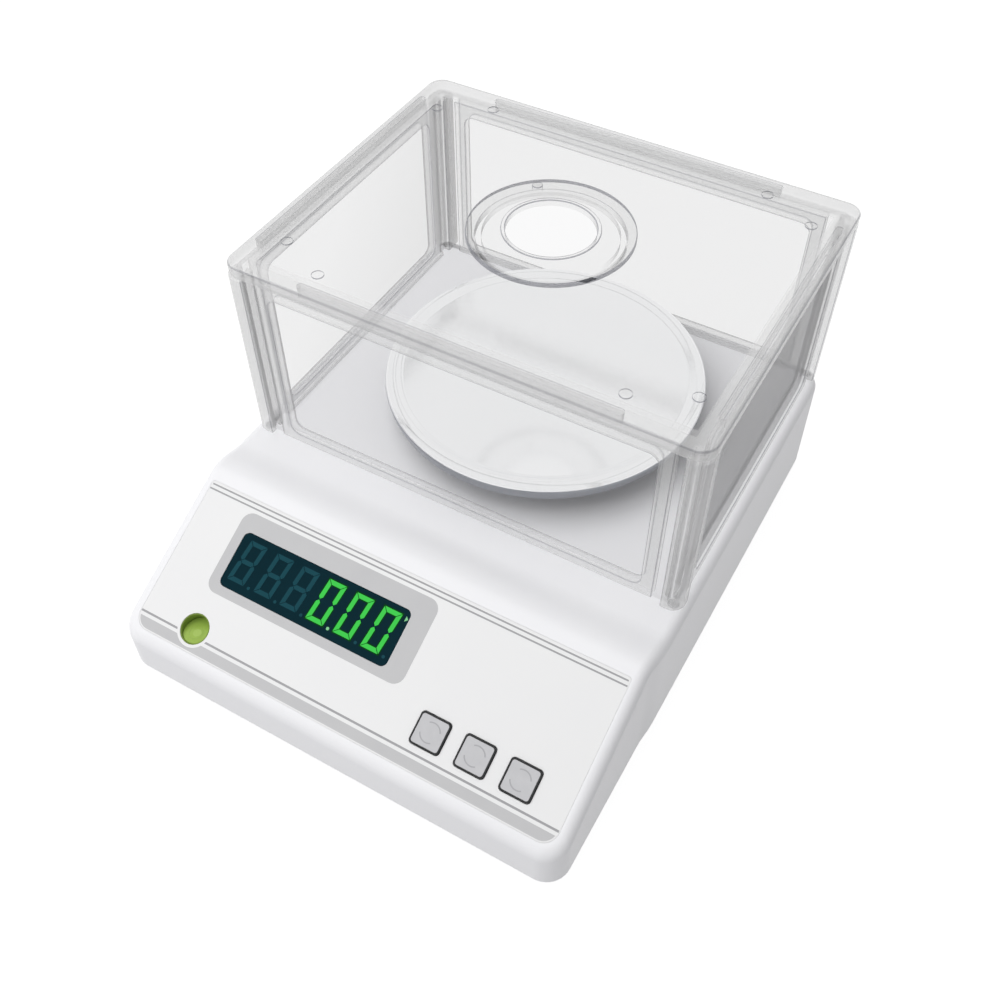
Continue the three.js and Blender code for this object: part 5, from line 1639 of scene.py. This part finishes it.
@dataclass
class ShieldLid(Assembly):
    """The clear lid with its slots, pips and round port, and the port's cover.

    The tilts tell rounded faces from flat ones by how much their normals rise: the lid's outer edge lies
    between edge_least and edge_most, turned faces between turned_least and turned_most, and the cover's
    side is under side_tilt. The outer edge and the turned faces get painted shade.
    """

    width: float = WindShield.width
    depth: float = WindShield.depth
    top: float = 138.6
    plate: float = 3.0
    rim_depth: float = 2.2
    rim_width: float = 3.0
    corner_radius: float = 6.5
    edge: float = 1.2
    front_slot: float = WindShield.front_slot
    side_slot: float = WindShield.side_slot
    slot_width: float = 2.7
    slot_end: float = 0.45
    slot_edge: float = 0.3
    inset: float = WindShield.inset
    band: float = 8.3
    pips: tuple[Point, ...] = ((80.0, 51.0), (59.3, 61.1))
    pip_radius: float = 2.3
    pip_rise: float = 0.5
    pip_edge: float = 0.2
    port_radius: float = 27.8
    cover_radius: float = 31.1
    cover_thickness: float = 2.0
    cover_edge: float = 0.3
    hole_radius: float = 16.7
    collar_wall: float = 1.6
    collar_rise: float = 0.6
    collar_edge: float = 0.5
    lip_wall: float = 2.2
    lip_depth: float = 2.6
    nub_radius: float = 2.0
    nub_rise: float = 2.6
    nub_angle: float = 130.6
    nub_edge: float = 0.5
    edge_least: float = 0.3
    edge_most: float = 0.8
    turned_least: float = 0.1
    turned_most: float = 0.95
    side_tilt: float = 0.6

    def build(self) -> None:
        """Makes the lid and the cover."""
        self.build_lid()
        self.build_cover()

    def build_lid(self) -> None:
        """Makes the lid."""
        height = self.plate + self.rim_depth
        foot = self.top - height
        size = (self.width, self.depth, height)
        lid = block(size, (*AXIS, foot), self.corner_radius, steps=12)
        lid.normal_update()
        soften(lid, rims(lid, foot, self.top), self.edge, steps=5)
        hollow = block(
            (self.width - 2 * self.rim_width, self.depth - 2 * self.rim_width, self.rim_depth + OVERRUN),
            (*AXIS, foot - OVERRUN), self.corner_radius - self.rim_width,
        )
        tall = self.plate + 2 * OVERRUN
        low = self.top - self.plate - OVERRUN
        cutters = [hollow, disc(self.port_radius, tall, (*AXIS, low), facets=128)]
        end = self.slot_width * self.slot_end
        for sign in (-1, 1):
            y = PAN_MIDDLE_MM + sign * (self.depth / 2 - self.inset)
            cutters.append(block((self.front_slot, self.slot_width, tall), (0.0, y, low), end))
            x = sign * (self.width / 2 - self.inset)
            cutters.append(block((self.slot_width, self.side_slot, tall), (x, PAN_MIDDLE_MM, low), end))
        lid = combined(lid, cutters, Solid.CUT)
        lid.normal_update()
        soften(lid, rims(lid, self.top), self.slot_edge, steps=2)
        pips = []
        for (x, y), corner in product(self.pips, Corner):
            sign_x, sign_y = corner.value
            place = (sign_x * x, PAN_MIDDLE_MM + sign_y * y, self.top - OVERRUN)
            pips.append(disc(self.pip_radius, self.pip_rise + OVERRUN, place, self.pip_edge, facets=32))
        lid = combined(lid, pips, Solid.JOIN)
        self.score(lid)
        made = self.piece(lid, "clear_lid", "shield_lid", "clear", "clear_acrylic", ["shield_lid"])
        # The lid's band gets the grey body, a painted reflection.
        self.repaint(made, "thick_acrylic", lambda middle, _: self.reach(middle) > -self.band)
        # The lid's rounded outer edge gets painted shade, drawn as a thin grey line.
        self.repaint(
            made, "edge_painted_shade",
            lambda middle, normal: middle.z > self.top - self.edge
            and self.edge_least < normal.z < self.edge_most,
        )
        # The pips' rims get painted shade, drawn as dark lines.
        self.repaint(
            made, "rim_painted_shade",
            lambda middle, normal: middle.z > self.top + SMALL and normal.z < self.turned_most,
        )

    def reach(self, point: Vector) -> float:
        """Gives how far a point is beyond the lid's outline, less than 0 when inside."""
        return max(abs(point.x) - self.width / 2, abs(point.y - PAN_MIDDLE_MM) - self.depth / 2)

    def score(self, lid: BMesh) -> None:
        """Divides the lid's faces along its band's inner line.

        Args:
            lid: the lid.
        """
        x = self.width / 2 - self.band
        y = self.depth / 2 - self.band
        for sign in (-1, 1):
            sliced(lid, (sign * x, 0.0, 0.0), (1.0, 0.0, 0.0))
            sliced(lid, (0.0, PAN_MIDDLE_MM + sign * y, 0.0), (0.0, 1.0, 0.0))

    def build_cover(self) -> None:
        """Makes the port's cover with its lip, collar and finger nub."""
        low = self.top + SEAT
        top = low + self.cover_thickness
        soft = self.cover_thickness / 3
        lip_out = self.port_radius - ROOM
        lip_in = lip_out - self.lip_wall
        collar = self.hole_radius + self.collar_wall
        edge = self.collar_edge
        raised = top + self.collar_rise
        outline = [
            (self.hole_radius, low), (lip_in, low), (lip_in, low - self.lip_depth),
            (lip_out, low - self.lip_depth), (lip_out, low), (self.cover_radius - self.cover_edge, low),
            (self.cover_radius, low + self.cover_edge),
            *arc((self.cover_radius - soft, top - soft), soft, 0, 90, steps=4),
            (collar, top),
            *arc((collar - edge, raised - edge), edge, 0, 90, steps=4),
            *arc((self.hole_radius + edge, raised - edge), edge, 90, 180, steps=4),
        ]
        ring = spun(outline, AXIS, facets=144)
        reach = (self.hole_radius + self.cover_radius) / 2
        turn = math.radians(self.nub_angle)
        place = (reach * math.cos(turn), PAN_MIDDLE_MM + reach * math.sin(turn), top - OVERRUN)
        nub = disc(self.nub_radius, self.nub_rise + OVERRUN, place, self.nub_edge, facets=40)
        cover = combined(ring, [nub], Solid.JOIN)
        made = self.piece(cover, "clear_cover", "port_cover", "clear", "clear_acrylic", ["port_cover"])
        # The cover's rims and side get painted shade, drawn as dark lines.
        self.repaint(
            made, "rim_painted_shade",
            lambda middle, normal: middle.z > low + SMALL and self.turned_least < normal.z < self.turned_most
            or off_axis(middle) > lip_out + OVERRUN and abs(normal.z) < self.side_tilt,
        )


# Pan


@dataclass
class WeighingPan(Assembly):
    """The polished pan, whose skirt draws in from the rim by the curl, in degrees."""

    radius: float = 65.0
    top: float = 73.5
    rim_height: float = 7.0
    rim_width: float = 7.5
    dish: float = 1.6
    sheet: float = 1.2
    rim_radius: float = 3.4
    curl: float = 12.0
    bend_start: float = 80.0
    steps: int = 12
    crease: float = 50.0
    painted_dark_below: float = 0.3

    def build(self) -> None:
        """Makes the pan as one spun sheet."""
        pan = spun(self.face(0.0) + self.face(self.sheet)[::-1], AXIS, facets=192)
        made = self.piece(pan, "steel_pan", "pan", "pan", "polished_stainless", ["pan"], self.crease)
        # The skirt gets its painted reflection: darker blue-grey where it turns down.
        self.repaint(
            made, "skirt_painted_reflection",
            lambda middle, normal: normal.z < self.painted_dark_below and middle.z < self.top - self.rim_radius / 2
            and off_axis(middle) > self.radius - self.sheet,
        )

    def face(self, inward: float) -> list[Point]:
        """Lists the outline of the pan's upper or under face, from the axis out and down the skirt.

        Args:
            inward: 0 for the upper face, or the sheet's thickness.

        Returns:
            Points in radius and height.
        """
        crest = self.radius - self.rim_radius
        floor = self.radius - self.rim_width
        points = [(0.0, self.top - inward - self.dish)]
        for i in range(self.steps + 1):
            share = i / self.steps
            lift = (1 - math.cos(math.pi * share)) / 2
            points.append((floor + (crest - floor) * share, self.top - inward - self.dish * (1 - lift)))
        bend = self.rim_radius - inward
        points += arc((crest, self.top - self.rim_radius), bend, self.bend_start, -self.curl, steps=14)
        turn = math.radians(self.curl)
        fall = (self.rim_height - self.rim_radius - bend * math.sin(turn)) * math.tan(turn)
        points.append((crest + bend * math.cos(turn) - fall, self.top - self.rim_height))
        return points


# Rear wall


@dataclass
class RearWall(Assembly):
    """The switch and the power jack in the rear wall.

    The jack's nut and the pin start at a depth behind the wall's face; the marks are a bar and a ring.
    """

    face: float = CaseTop.depth / 2
    wall: float = CaseTop.wall
    centre: float = 28.0
    rocker_x: float = -40.0
    rocker_width: float = 17.0
    rocker_height: float = 11.0
    rocker_depth: float = 5.0
    rocker_dip: float = 1.6
    rocker_taper: float = 2.5
    rocker_tip: float = 8.0
    rocker_edge: float = 0.35
    bar_width: float = 0.7
    bar_length: float = 3.4
    ring_inner: float = 1.2
    ring_outer: float = 1.8
    mark_rise: float = 0.08
    frame_wall: float = 1.4
    frame_lap: float = 1.8
    frame_flange: float = 1.2
    frame_edge: float = 0.3
    frame_sunk: float = 0.2
    frame_depth: float = 11.0
    jack_x: float = -66.0
    jack_radius: float = 4.2
    jack_bore: float = 2.8
    jack_depth: float = 8.0
    jack_length: float = 12.0
    bore_edge: float = 0.3
    jack_edge: float = 0.2
    nut_depth: float = 3.3
    nut_wall: float = 0.8
    pin_radius: float = 1.0
    pin_depth: float = 1.0
    pin_point: float = 0.4
    pin_edge: float = 0.3
    pin_root: float = 0.5

    def cutters(self) -> list[BMesh]:
        """Makes the forms that open the case's rear wall.

        Returns:
            The forms for the switch's body, its flange and the jack.
        """
        deep = self.wall + 2 * OVERRUN
        wide = self.rocker_width + 2 * (self.frame_wall + 2 * ROOM)
        high = self.rocker_height + 2 * (self.frame_wall + 2 * ROOM)
        flange = self.frame_flange + SEAT + OVERRUN
        lap = 2 * self.frame_lap
        return [
            self.standing((wide, deep, high), self.face - self.wall / 2),
            self.standing((wide + lap, flange, high + lap), self.face + OVERRUN - flange / 2),
            self.lying(disc(self.jack_radius + ROOM, deep, (0, 0, 0)), self.face + OVERRUN),
        ]

    def standing(self, size: Place, y: float) -> BMesh:
        """Makes a block round the switch's middle.

        Args:
            size: its width, depth and height.
            y: its middle's place from front to rear.

        Returns:
            The new mesh.
        """
        return block(size, (self.rocker_x, y, self.centre - size[2] / 2))

    def lying(self, form: BMesh, end: float) -> BMesh:
        """Lays an upright round form along y at the jack, with its foot at the given end.

        Args:
            form: the upright form, with its foot at 0.
            end: the y of its foot, from which it runs to the front.

        Returns:
            The moved form.
        """
        return placed(form, Matrix.Translation((self.jack_x, end, self.centre)) @ quarter_turn("X"))

    def build(self) -> None:
        """Makes the frame, the rocker with its two marks, and the jack."""
        self.build_frame()
        self.build_rocker()
        self.build_jack()

    def build_frame(self) -> None:
        """Makes the switch's frame."""
        wide = self.rocker_width + 2 * (self.frame_wall + ROOM)
        high = self.rocker_height + 2 * (self.frame_wall + ROOM)
        lap = 2 * self.frame_lap
        flange = self.standing((wide + lap, self.frame_flange, high + lap), self.face - self.frame_flange / 2)
        soften(flange, flange.edges[:], self.frame_edge, steps=2)
        middle = self.face - self.frame_depth / 2 - self.frame_sunk
        body = self.standing((wide, self.frame_depth, high), middle)
        deep = self.frame_depth - self.frame_wall + OVERRUN
        room = self.standing((self.rocker_width + 2 * ROOM, deep, self.rocker_height + 2 * ROOM),
                             self.face + OVERRUN - deep / 2)
        form = combined(combined(flange, [body], Solid.JOIN), [room], Solid.CUT)
        self.piece(form, "switch_surround", "case", "black", "black_nylon", ["switch_frame"])

    def build_rocker(self) -> None:
        """Makes the rocker, tipped as it rests, with a bar and a ring as its marks."""
        half = self.rocker_width / 2
        foot = half - self.rocker_taper
        outline = [(-half, 0.0), (-foot, -self.rocker_depth), (foot, -self.rocker_depth), (half, 0.0),
                   (0.0, -self.rocker_dip)]
        down = Matrix.Translation((0.0, 0.0, -self.rocker_height / 2))
        rocker = placed(prism(outline, self.rocker_height), down)
        soften(rocker, rocker.edges[:], self.rocker_edge, steps=2)
        turn = Matrix.Rotation(math.radians(-self.rocker_tip), 4, "Z")
        place = Matrix.Translation((self.rocker_x, self.face - self.rocker_dip - ROOM, self.centre)) @ turn
        self.piece(
            placed(rocker, place), "rocker_cap", "power_rocker", "black", "black_nylon", ["power_rocker"]
        )
        slope = math.atan2(self.rocker_dip, half)
        bar = block((self.bar_width, self.bar_length, self.mark_rise), (0.0, 0.0, 0.0))
        ring = spun([(self.ring_inner, 0.0), (self.ring_outer, 0.0), (self.ring_outer, self.mark_rise),
                     (self.ring_inner, self.mark_rise)], (0.0, 0.0), facets=32)
        marks = []
        for sign, mark in ((-1, ring), (1, bar)):
            tilt = Matrix.Rotation(sign * slope, 4, "Z")
            spot = Matrix.Translation((sign * half / 2, -self.rocker_dip / 2, 0.0))
            marks.append(placed(mark, place @ spot @ tilt @ quarter_turn("X", -1)))
        self.piece(merged(marks), "rocker_marks", "power_rocker", "black", "deck_film")

    def build_jack(self) -> None:
        """Makes the jack's sleeve and its pin."""
        bore, radius, nut = self.jack_bore, self.jack_radius, self.jack_radius + self.nut_wall
        sleeve = [
            (bore, self.bore_edge), (bore + self.bore_edge, 0.0), (radius - self.jack_edge, 0.0),
            (radius, self.jack_edge), (radius, self.nut_depth), (nut, self.nut_depth),
            (nut, self.jack_length), (0.0, self.jack_length), (0.0, self.jack_depth), (bore, self.jack_depth),
        ]
        end = self.jack_depth + self.pin_root
        pin = [(0.0, self.pin_depth), (self.pin_radius - self.pin_edge, self.pin_depth),
               (self.pin_radius, self.pin_depth + self.pin_point), (self.pin_radius, end), (0.0, end)]
        body = self.lying(spun(sleeve, (0.0, 0.0), facets=64), self.face)
        self.piece(body, "jack_sleeve", "case", "black", "black_nylon", ["dc_jack"])
        pole = self.lying(spun(pin, (0.0, 0.0), facets=32), self.face)
        self.piece(pole, "jack_pin", "case", "black", "nickel")


# Base and feet


@dataclass
class Feet(Assembly):
    """Four levelling feet: a knurled wheel with its stud, and a rubber pad.

    The thread's crest and root are shares of its pitch.
    """

    xs: tuple[float, float] = (-66.0, 66.0)
    ys: tuple[float, float] = (-96.0, 96.0)
    wheel_radius: float = 10.0
    wheel_foot: float = 2.7
    wheel_height: float = 3.0
    wheel_edge: float = 0.35
    knurls: int = 36
    knurl_depth: float = 0.5
    spigot_radius: float = 4.0
    spigot_lift: float = 0.3
    spigot_sunk: float = 0.5
    stud_radius: float = 3.0
    stud_length: float = 10.0
    thread_pitch: float = 1.5
    thread_depth: float = 0.35
    thread_crest: float = 0.2
    thread_root: float = 0.6
    pad_radius: float = 8.5
    pad_height: float = 2.4
    pad_floor: float = 1.2
    pad_foot_edge: float = 0.6
    pad_top_edge: float = 0.5

    def build(self) -> None:
        """Makes the four feet."""
        for number, (y, x) in enumerate(product(self.ys, self.xs), start=1):
            self.build_wheel(number, (x, y))
            self.build_pad(number, (x, y))

    def build_wheel(self, number: int, middle: Point) -> None:
        """Makes one knurled wheel with its threaded stud.

        Args:
            number: the foot's number.
            middle: its place in x and y.
        """
        wheel = disc(self.wheel_radius, self.wheel_height, (*middle, self.wheel_foot), facets=self.knurls * 4)
        for vert in wheel.verts:
            out = Vector((vert.co.x - middle[0], vert.co.y - middle[1]))
            wave = (1 + math.cos(self.knurls * math.atan2(out.y, out.x))) / 2
            scale = 1 - self.knurl_depth * wave / self.wheel_radius
            vert.co.x = middle[0] + out.x * scale
            vert.co.y = middle[1] + out.y * scale
        wheel.normal_update()
        top = self.wheel_foot + self.wheel_height
        soften(wheel, rims(wheel, self.wheel_foot, top), self.wheel_edge, steps=2)
        foot, shoulder = self.pad_floor + self.spigot_lift, top - self.spigot_sunk
        points = [(0.0, foot), (self.spigot_radius, foot), (self.spigot_radius, shoulder),
                  (self.stud_radius, shoulder)]
        turns = int(self.stud_length / self.thread_pitch)
        for i in range(turns):
            z = top + self.thread_pitch * i
            points.append((self.stud_radius, z + self.thread_crest * self.thread_pitch))
            points.append((self.stud_radius - self.thread_depth, z + self.thread_root * self.thread_pitch))
        points += [(self.stud_radius, top + self.thread_pitch * turns), (0.0, top + self.stud_length)]
        screw = f"foot_screw_{number}"
        both = merged([wheel, spun(points, middle, facets=40)])
        self.piece(both, f"foot_wheel_{number}", screw, "grey", "black_nylon", [screw])

    def build_pad(self, number: int, middle: Point) -> None:
        """Makes one rubber pad.

        Args:
            number: the foot's number.
            middle: its place in x and y.
        """
        hole = self.spigot_radius + ROOM
        low, high = self.pad_foot_edge, self.pad_top_edge
        points = [
            (0.0, 0.0), (self.pad_radius - low, 0.0),
            *arc((self.pad_radius - low, low), low, -90, 0, steps=4),
            *arc((self.pad_radius - high, self.pad_height - high), high, 0, 90, steps=4),
            (hole, self.pad_height), (hole, self.pad_floor), (0.0, self.pad_floor),
        ]
        form = spun(points, middle, facets=64)
        pad = f"foot_pad_{number}"
        self.piece(form, f"rubber_pad_{number}", pad, "rubber", "black_rubber", [pad])


@dataclass
class Solids(Assembly):
    """The frame's own solids that keep their shape and get their finish here.

    Attributes:
        looks: for each start of their names, the finish and the edges' bevel.
        weld: how close corners are one, in metres.
        sharp: edges over this many degrees are bevelled.
    """

    looks: tuple[tuple[str, str, float], ...] = (
        ("lower_case", "grey_abs", 0.0),
        ("battery_door", "grey_abs", 0.3),
        ("display_module", "black_nylon", 0.2),
        ("deck_board", "green_board", 0.1),
        ("main_board", "green_board", 0.1),
        ("battery", "blue_sleeve", 1.2),
        ("load_cell", "milled_aluminium", 0.3),
        ("cell_spacer", "milled_aluminium", 0.3),
        ("cell_bracket", "milled_aluminium", 0.3),
        ("pan_support", "black_nylon", 0.5),
        ("tact_switch_", "black_nylon", 0.2),
        ("support_pad_", "black_rubber", 0.4),
        ("case_screw_", "zinc_plate", 0.15),
        ("cell_screw_", "zinc_plate", 0.15),
        ("bracket_screw_", "zinc_plate", 0.15),
        ("deck_board_screw_", "zinc_plate", 0.1),
        ("main_board_screw_", "zinc_plate", 0.1),
    )
    weld: float = 1e-6
    sharp: float = 40.0

    def build(self) -> None:
        """Dresses each of them."""
        for start, finish, edge in self.looks:
            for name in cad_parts:
                if name == start or start.endswith("_") and name.startswith(start):
                    self.dress(name, finish, edge)

    def dress(self, node: str, finish: str, edge: float) -> None:
        """Gives a solid its finish and, where asked, softer edges.

        Args:
            node: the solid's name.
            finish: its finish.
            edge: its edges' bevel in millimetres, or 0.
        """
        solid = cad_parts[node]
        for slot in solid.material_slots:
            slot.link = "OBJECT"
            slot.material = self.finishes[finish]
        if edge > 0:
            weld = solid.modifiers.new("closed", "WELD")
            weld.merge_threshold = self.weld
            bevel = solid.modifiers.new("soft_edges", "BEVEL")
            bevel.width = edge * MM
            bevel.segments = 2
            bevel.limit_method = "ANGLE"
            bevel.angle_limit = math.radians(self.sharp)
            solid.modifiers.new("even_shading", "WEIGHTED_NORMAL")
        LOG.info("solid %s dressed", node)


# The studio


@dataclass(frozen=True)
class Lamp:
    """A soft square lamp that looks at the scale.

    Attributes:
        name: its name.
        place: where it stands, in metres.
        size: its side in metres.
        power: its power in watts.
    """

    name: str
    place: Place
    size: float
    power: float


@dataclass
class Studio:
    """Floor, light and camera.

    Attributes:
        floor: the floor's side in metres.
        floor_paint: sRGB colour of the paint that takes the shadow.
        floor_glow: share of the floor's look that is plain white; the rest is paint.
        floor_strength: the plain white's strength, so that bare floor reads white.
        floor_drop: how far the floor lies under the feet, in metres.
        world: strength of the light from all round.
        lamps: the lamps.
        target: what the lamps look at, in metres.
        camera_mm: the camera's place.
        camera_turn: its turn in degrees about x, y and z.
        lens: its focal length in millimetres.
        sensor: its sensor's width in millimetres.
        near: the nearest that it sees, in metres.
    """

    floor: float = 6.0
    floor_paint: str = "#C4C4C6"
    floor_glow: float = 0.8
    floor_strength: float = 1.2
    floor_drop: float = 0.0001
    world: float = 0.42
    lamps: tuple[Lamp, ...] = (
        Lamp("key_lamp", (-0.5, -0.3, 1.2), 1.5, 13.6),
        Lamp("front_lamp", (-0.28, -1.15, 0.34), 0.7, 1.9),
    )
    target: Place = (0.0, 0.02, 0.05)
    camera_mm: Place = (152.4, -257.8, 389.8)
    camera_turn: Place = (40.29, 0.0, 29.78)
    lens: float = 40.94
    sensor: float = 36.0
    near: float = 0.01

    def build(self) -> None:
        """Makes the stage."""
        self.build_camera()
        self.build_floor()
        self.build_world()
        for lamp in self.lamps:
            self.build_lamp(lamp)
        bpy.context.scene.view_settings.view_transform = "Standard"

    def build_camera(self) -> None:
        """Sets the camera where the photograph was taken from."""
        data = bpy.data.cameras.new("camera")
        data.lens = self.lens
        data.sensor_width = self.sensor
        data.clip_start = self.near
        camera = linked("camera", data)
        camera.location = Vector(self.camera_mm) * MM
        camera.rotation_euler = Euler([math.radians(turn) for turn in self.camera_turn])
        bpy.context.scene.camera = camera

    def shown(self, tree: bpy.types.NodeTree, low: float, high: float) -> bpy.types.NodeSocket:
        """Tells rays that show the backdrop, straight, mirrored or through glass, from those that light.

        Args:
            tree: the node tree of what is lit.
            low: the value for rays that light.
            high: the value for rays that show.

        Returns:
            The value's socket.
        """
        path = add_node(tree, "ShaderNodeLightPath")
        seen = add_node(
            tree, "ShaderNodeMath", {0: path.outputs["Is Camera Ray"], 1: path.outputs["Is Glossy Ray"]},
            operation="ADD",
        )
        through = add_node(
            tree, "ShaderNodeMath", {0: seen.outputs["Value"], 1: path.outputs["Is Transmission Ray"]},
            operation="ADD", use_clamp=True,
        )
        share = add_node(
            tree, "ShaderNodeMapRange", {"Value": through.outputs["Value"], "To Min": low, "To Max": high}
        )
        return share.outputs["Result"]

    def build_floor(self) -> None:
        """Makes the pale floor, which keeps the scale's shadow and is clear from below."""
        form = bmesh.new()
        bmesh.ops.create_grid(form, x_segments=1, y_segments=1, size=self.floor / 2)
        bmesh.ops.translate(form, vec=(0.0, 0.0, -self.floor_drop), verts=form.verts)
        mesh = mesh_of(form, "floor")
        material = bpy.data.materials.new("pale_floor")
        mesh.materials.append(material)
        tree = emptied(material)
        paint = add_node(tree, "ShaderNodeBsdfDiffuse", {"Color": linear(self.floor_paint)})
        white = {"Color": linear("#FFFFFF"), "Strength": self.floor_strength}
        glow = add_node(tree, "ShaderNodeEmission", white)
        upper = blended(
            tree, self.shown(tree, 0.0, self.floor_glow), paint.outputs["BSDF"], glow.outputs["Emission"]
        )
        side = add_node(tree, "ShaderNodeNewGeometry")
        bare = add_node(tree, "ShaderNodeBsdfTransparent")
        both = blended(tree, side.outputs["Backfacing"], upper, bare.outputs["BSDF"])
        add_node(tree, "ShaderNodeOutputMaterial", {"Surface": both})
        linked("floor", mesh)

    def build_world(self) -> None:
        """Makes the plain surrounding light, white to the eye."""
        world = bpy.data.worlds.new("studio")
        bpy.context.scene.world = world
        tree = emptied(world)
        white = {"Color": linear("#FFFFFF"), "Strength": self.shown(tree, self.world, 1.0)}
        back = add_node(tree, "ShaderNodeBackground", white)
        add_node(tree, "ShaderNodeOutputWorld", {"Surface": back.outputs["Background"]})

    def build_lamp(self, lamp: Lamp) -> None:
        """Sets up a lamp that metal doesn't mirror.

        Args:
            lamp: the lamp.
        """
        data = bpy.data.lights.new(lamp.name, "AREA")
        data.size = lamp.size
        data.energy = lamp.power
        made = linked(lamp.name, data)
        made.location = lamp.place
        made.visible_glossy = False
        way = Vector(self.target) - Vector(lamp.place)
        made.rotation_euler = way.to_track_quat("-Z", "Y").to_euler()


def main() -> None:
    """Builds the scale's pieces in order."""
    logging.basicConfig(level=logging.INFO, format="%(message)s")
    finishes = {finish.name: finish.build() for finish in FINISHES}
    controls = ControlDeck(finishes)
    shield = WindShield(finishes)
    rear = RearWall(finishes)
    Studio().build()
    CaseTop(finishes).build(controls, shield, rear)
    for assembly in (controls, shield, ShieldLid(finishes), WeighingPan(finishes), rear, Feet(finishes)):
        assembly.build()
    Solids(finishes).build()


if __name__ == "__main__":
    main()
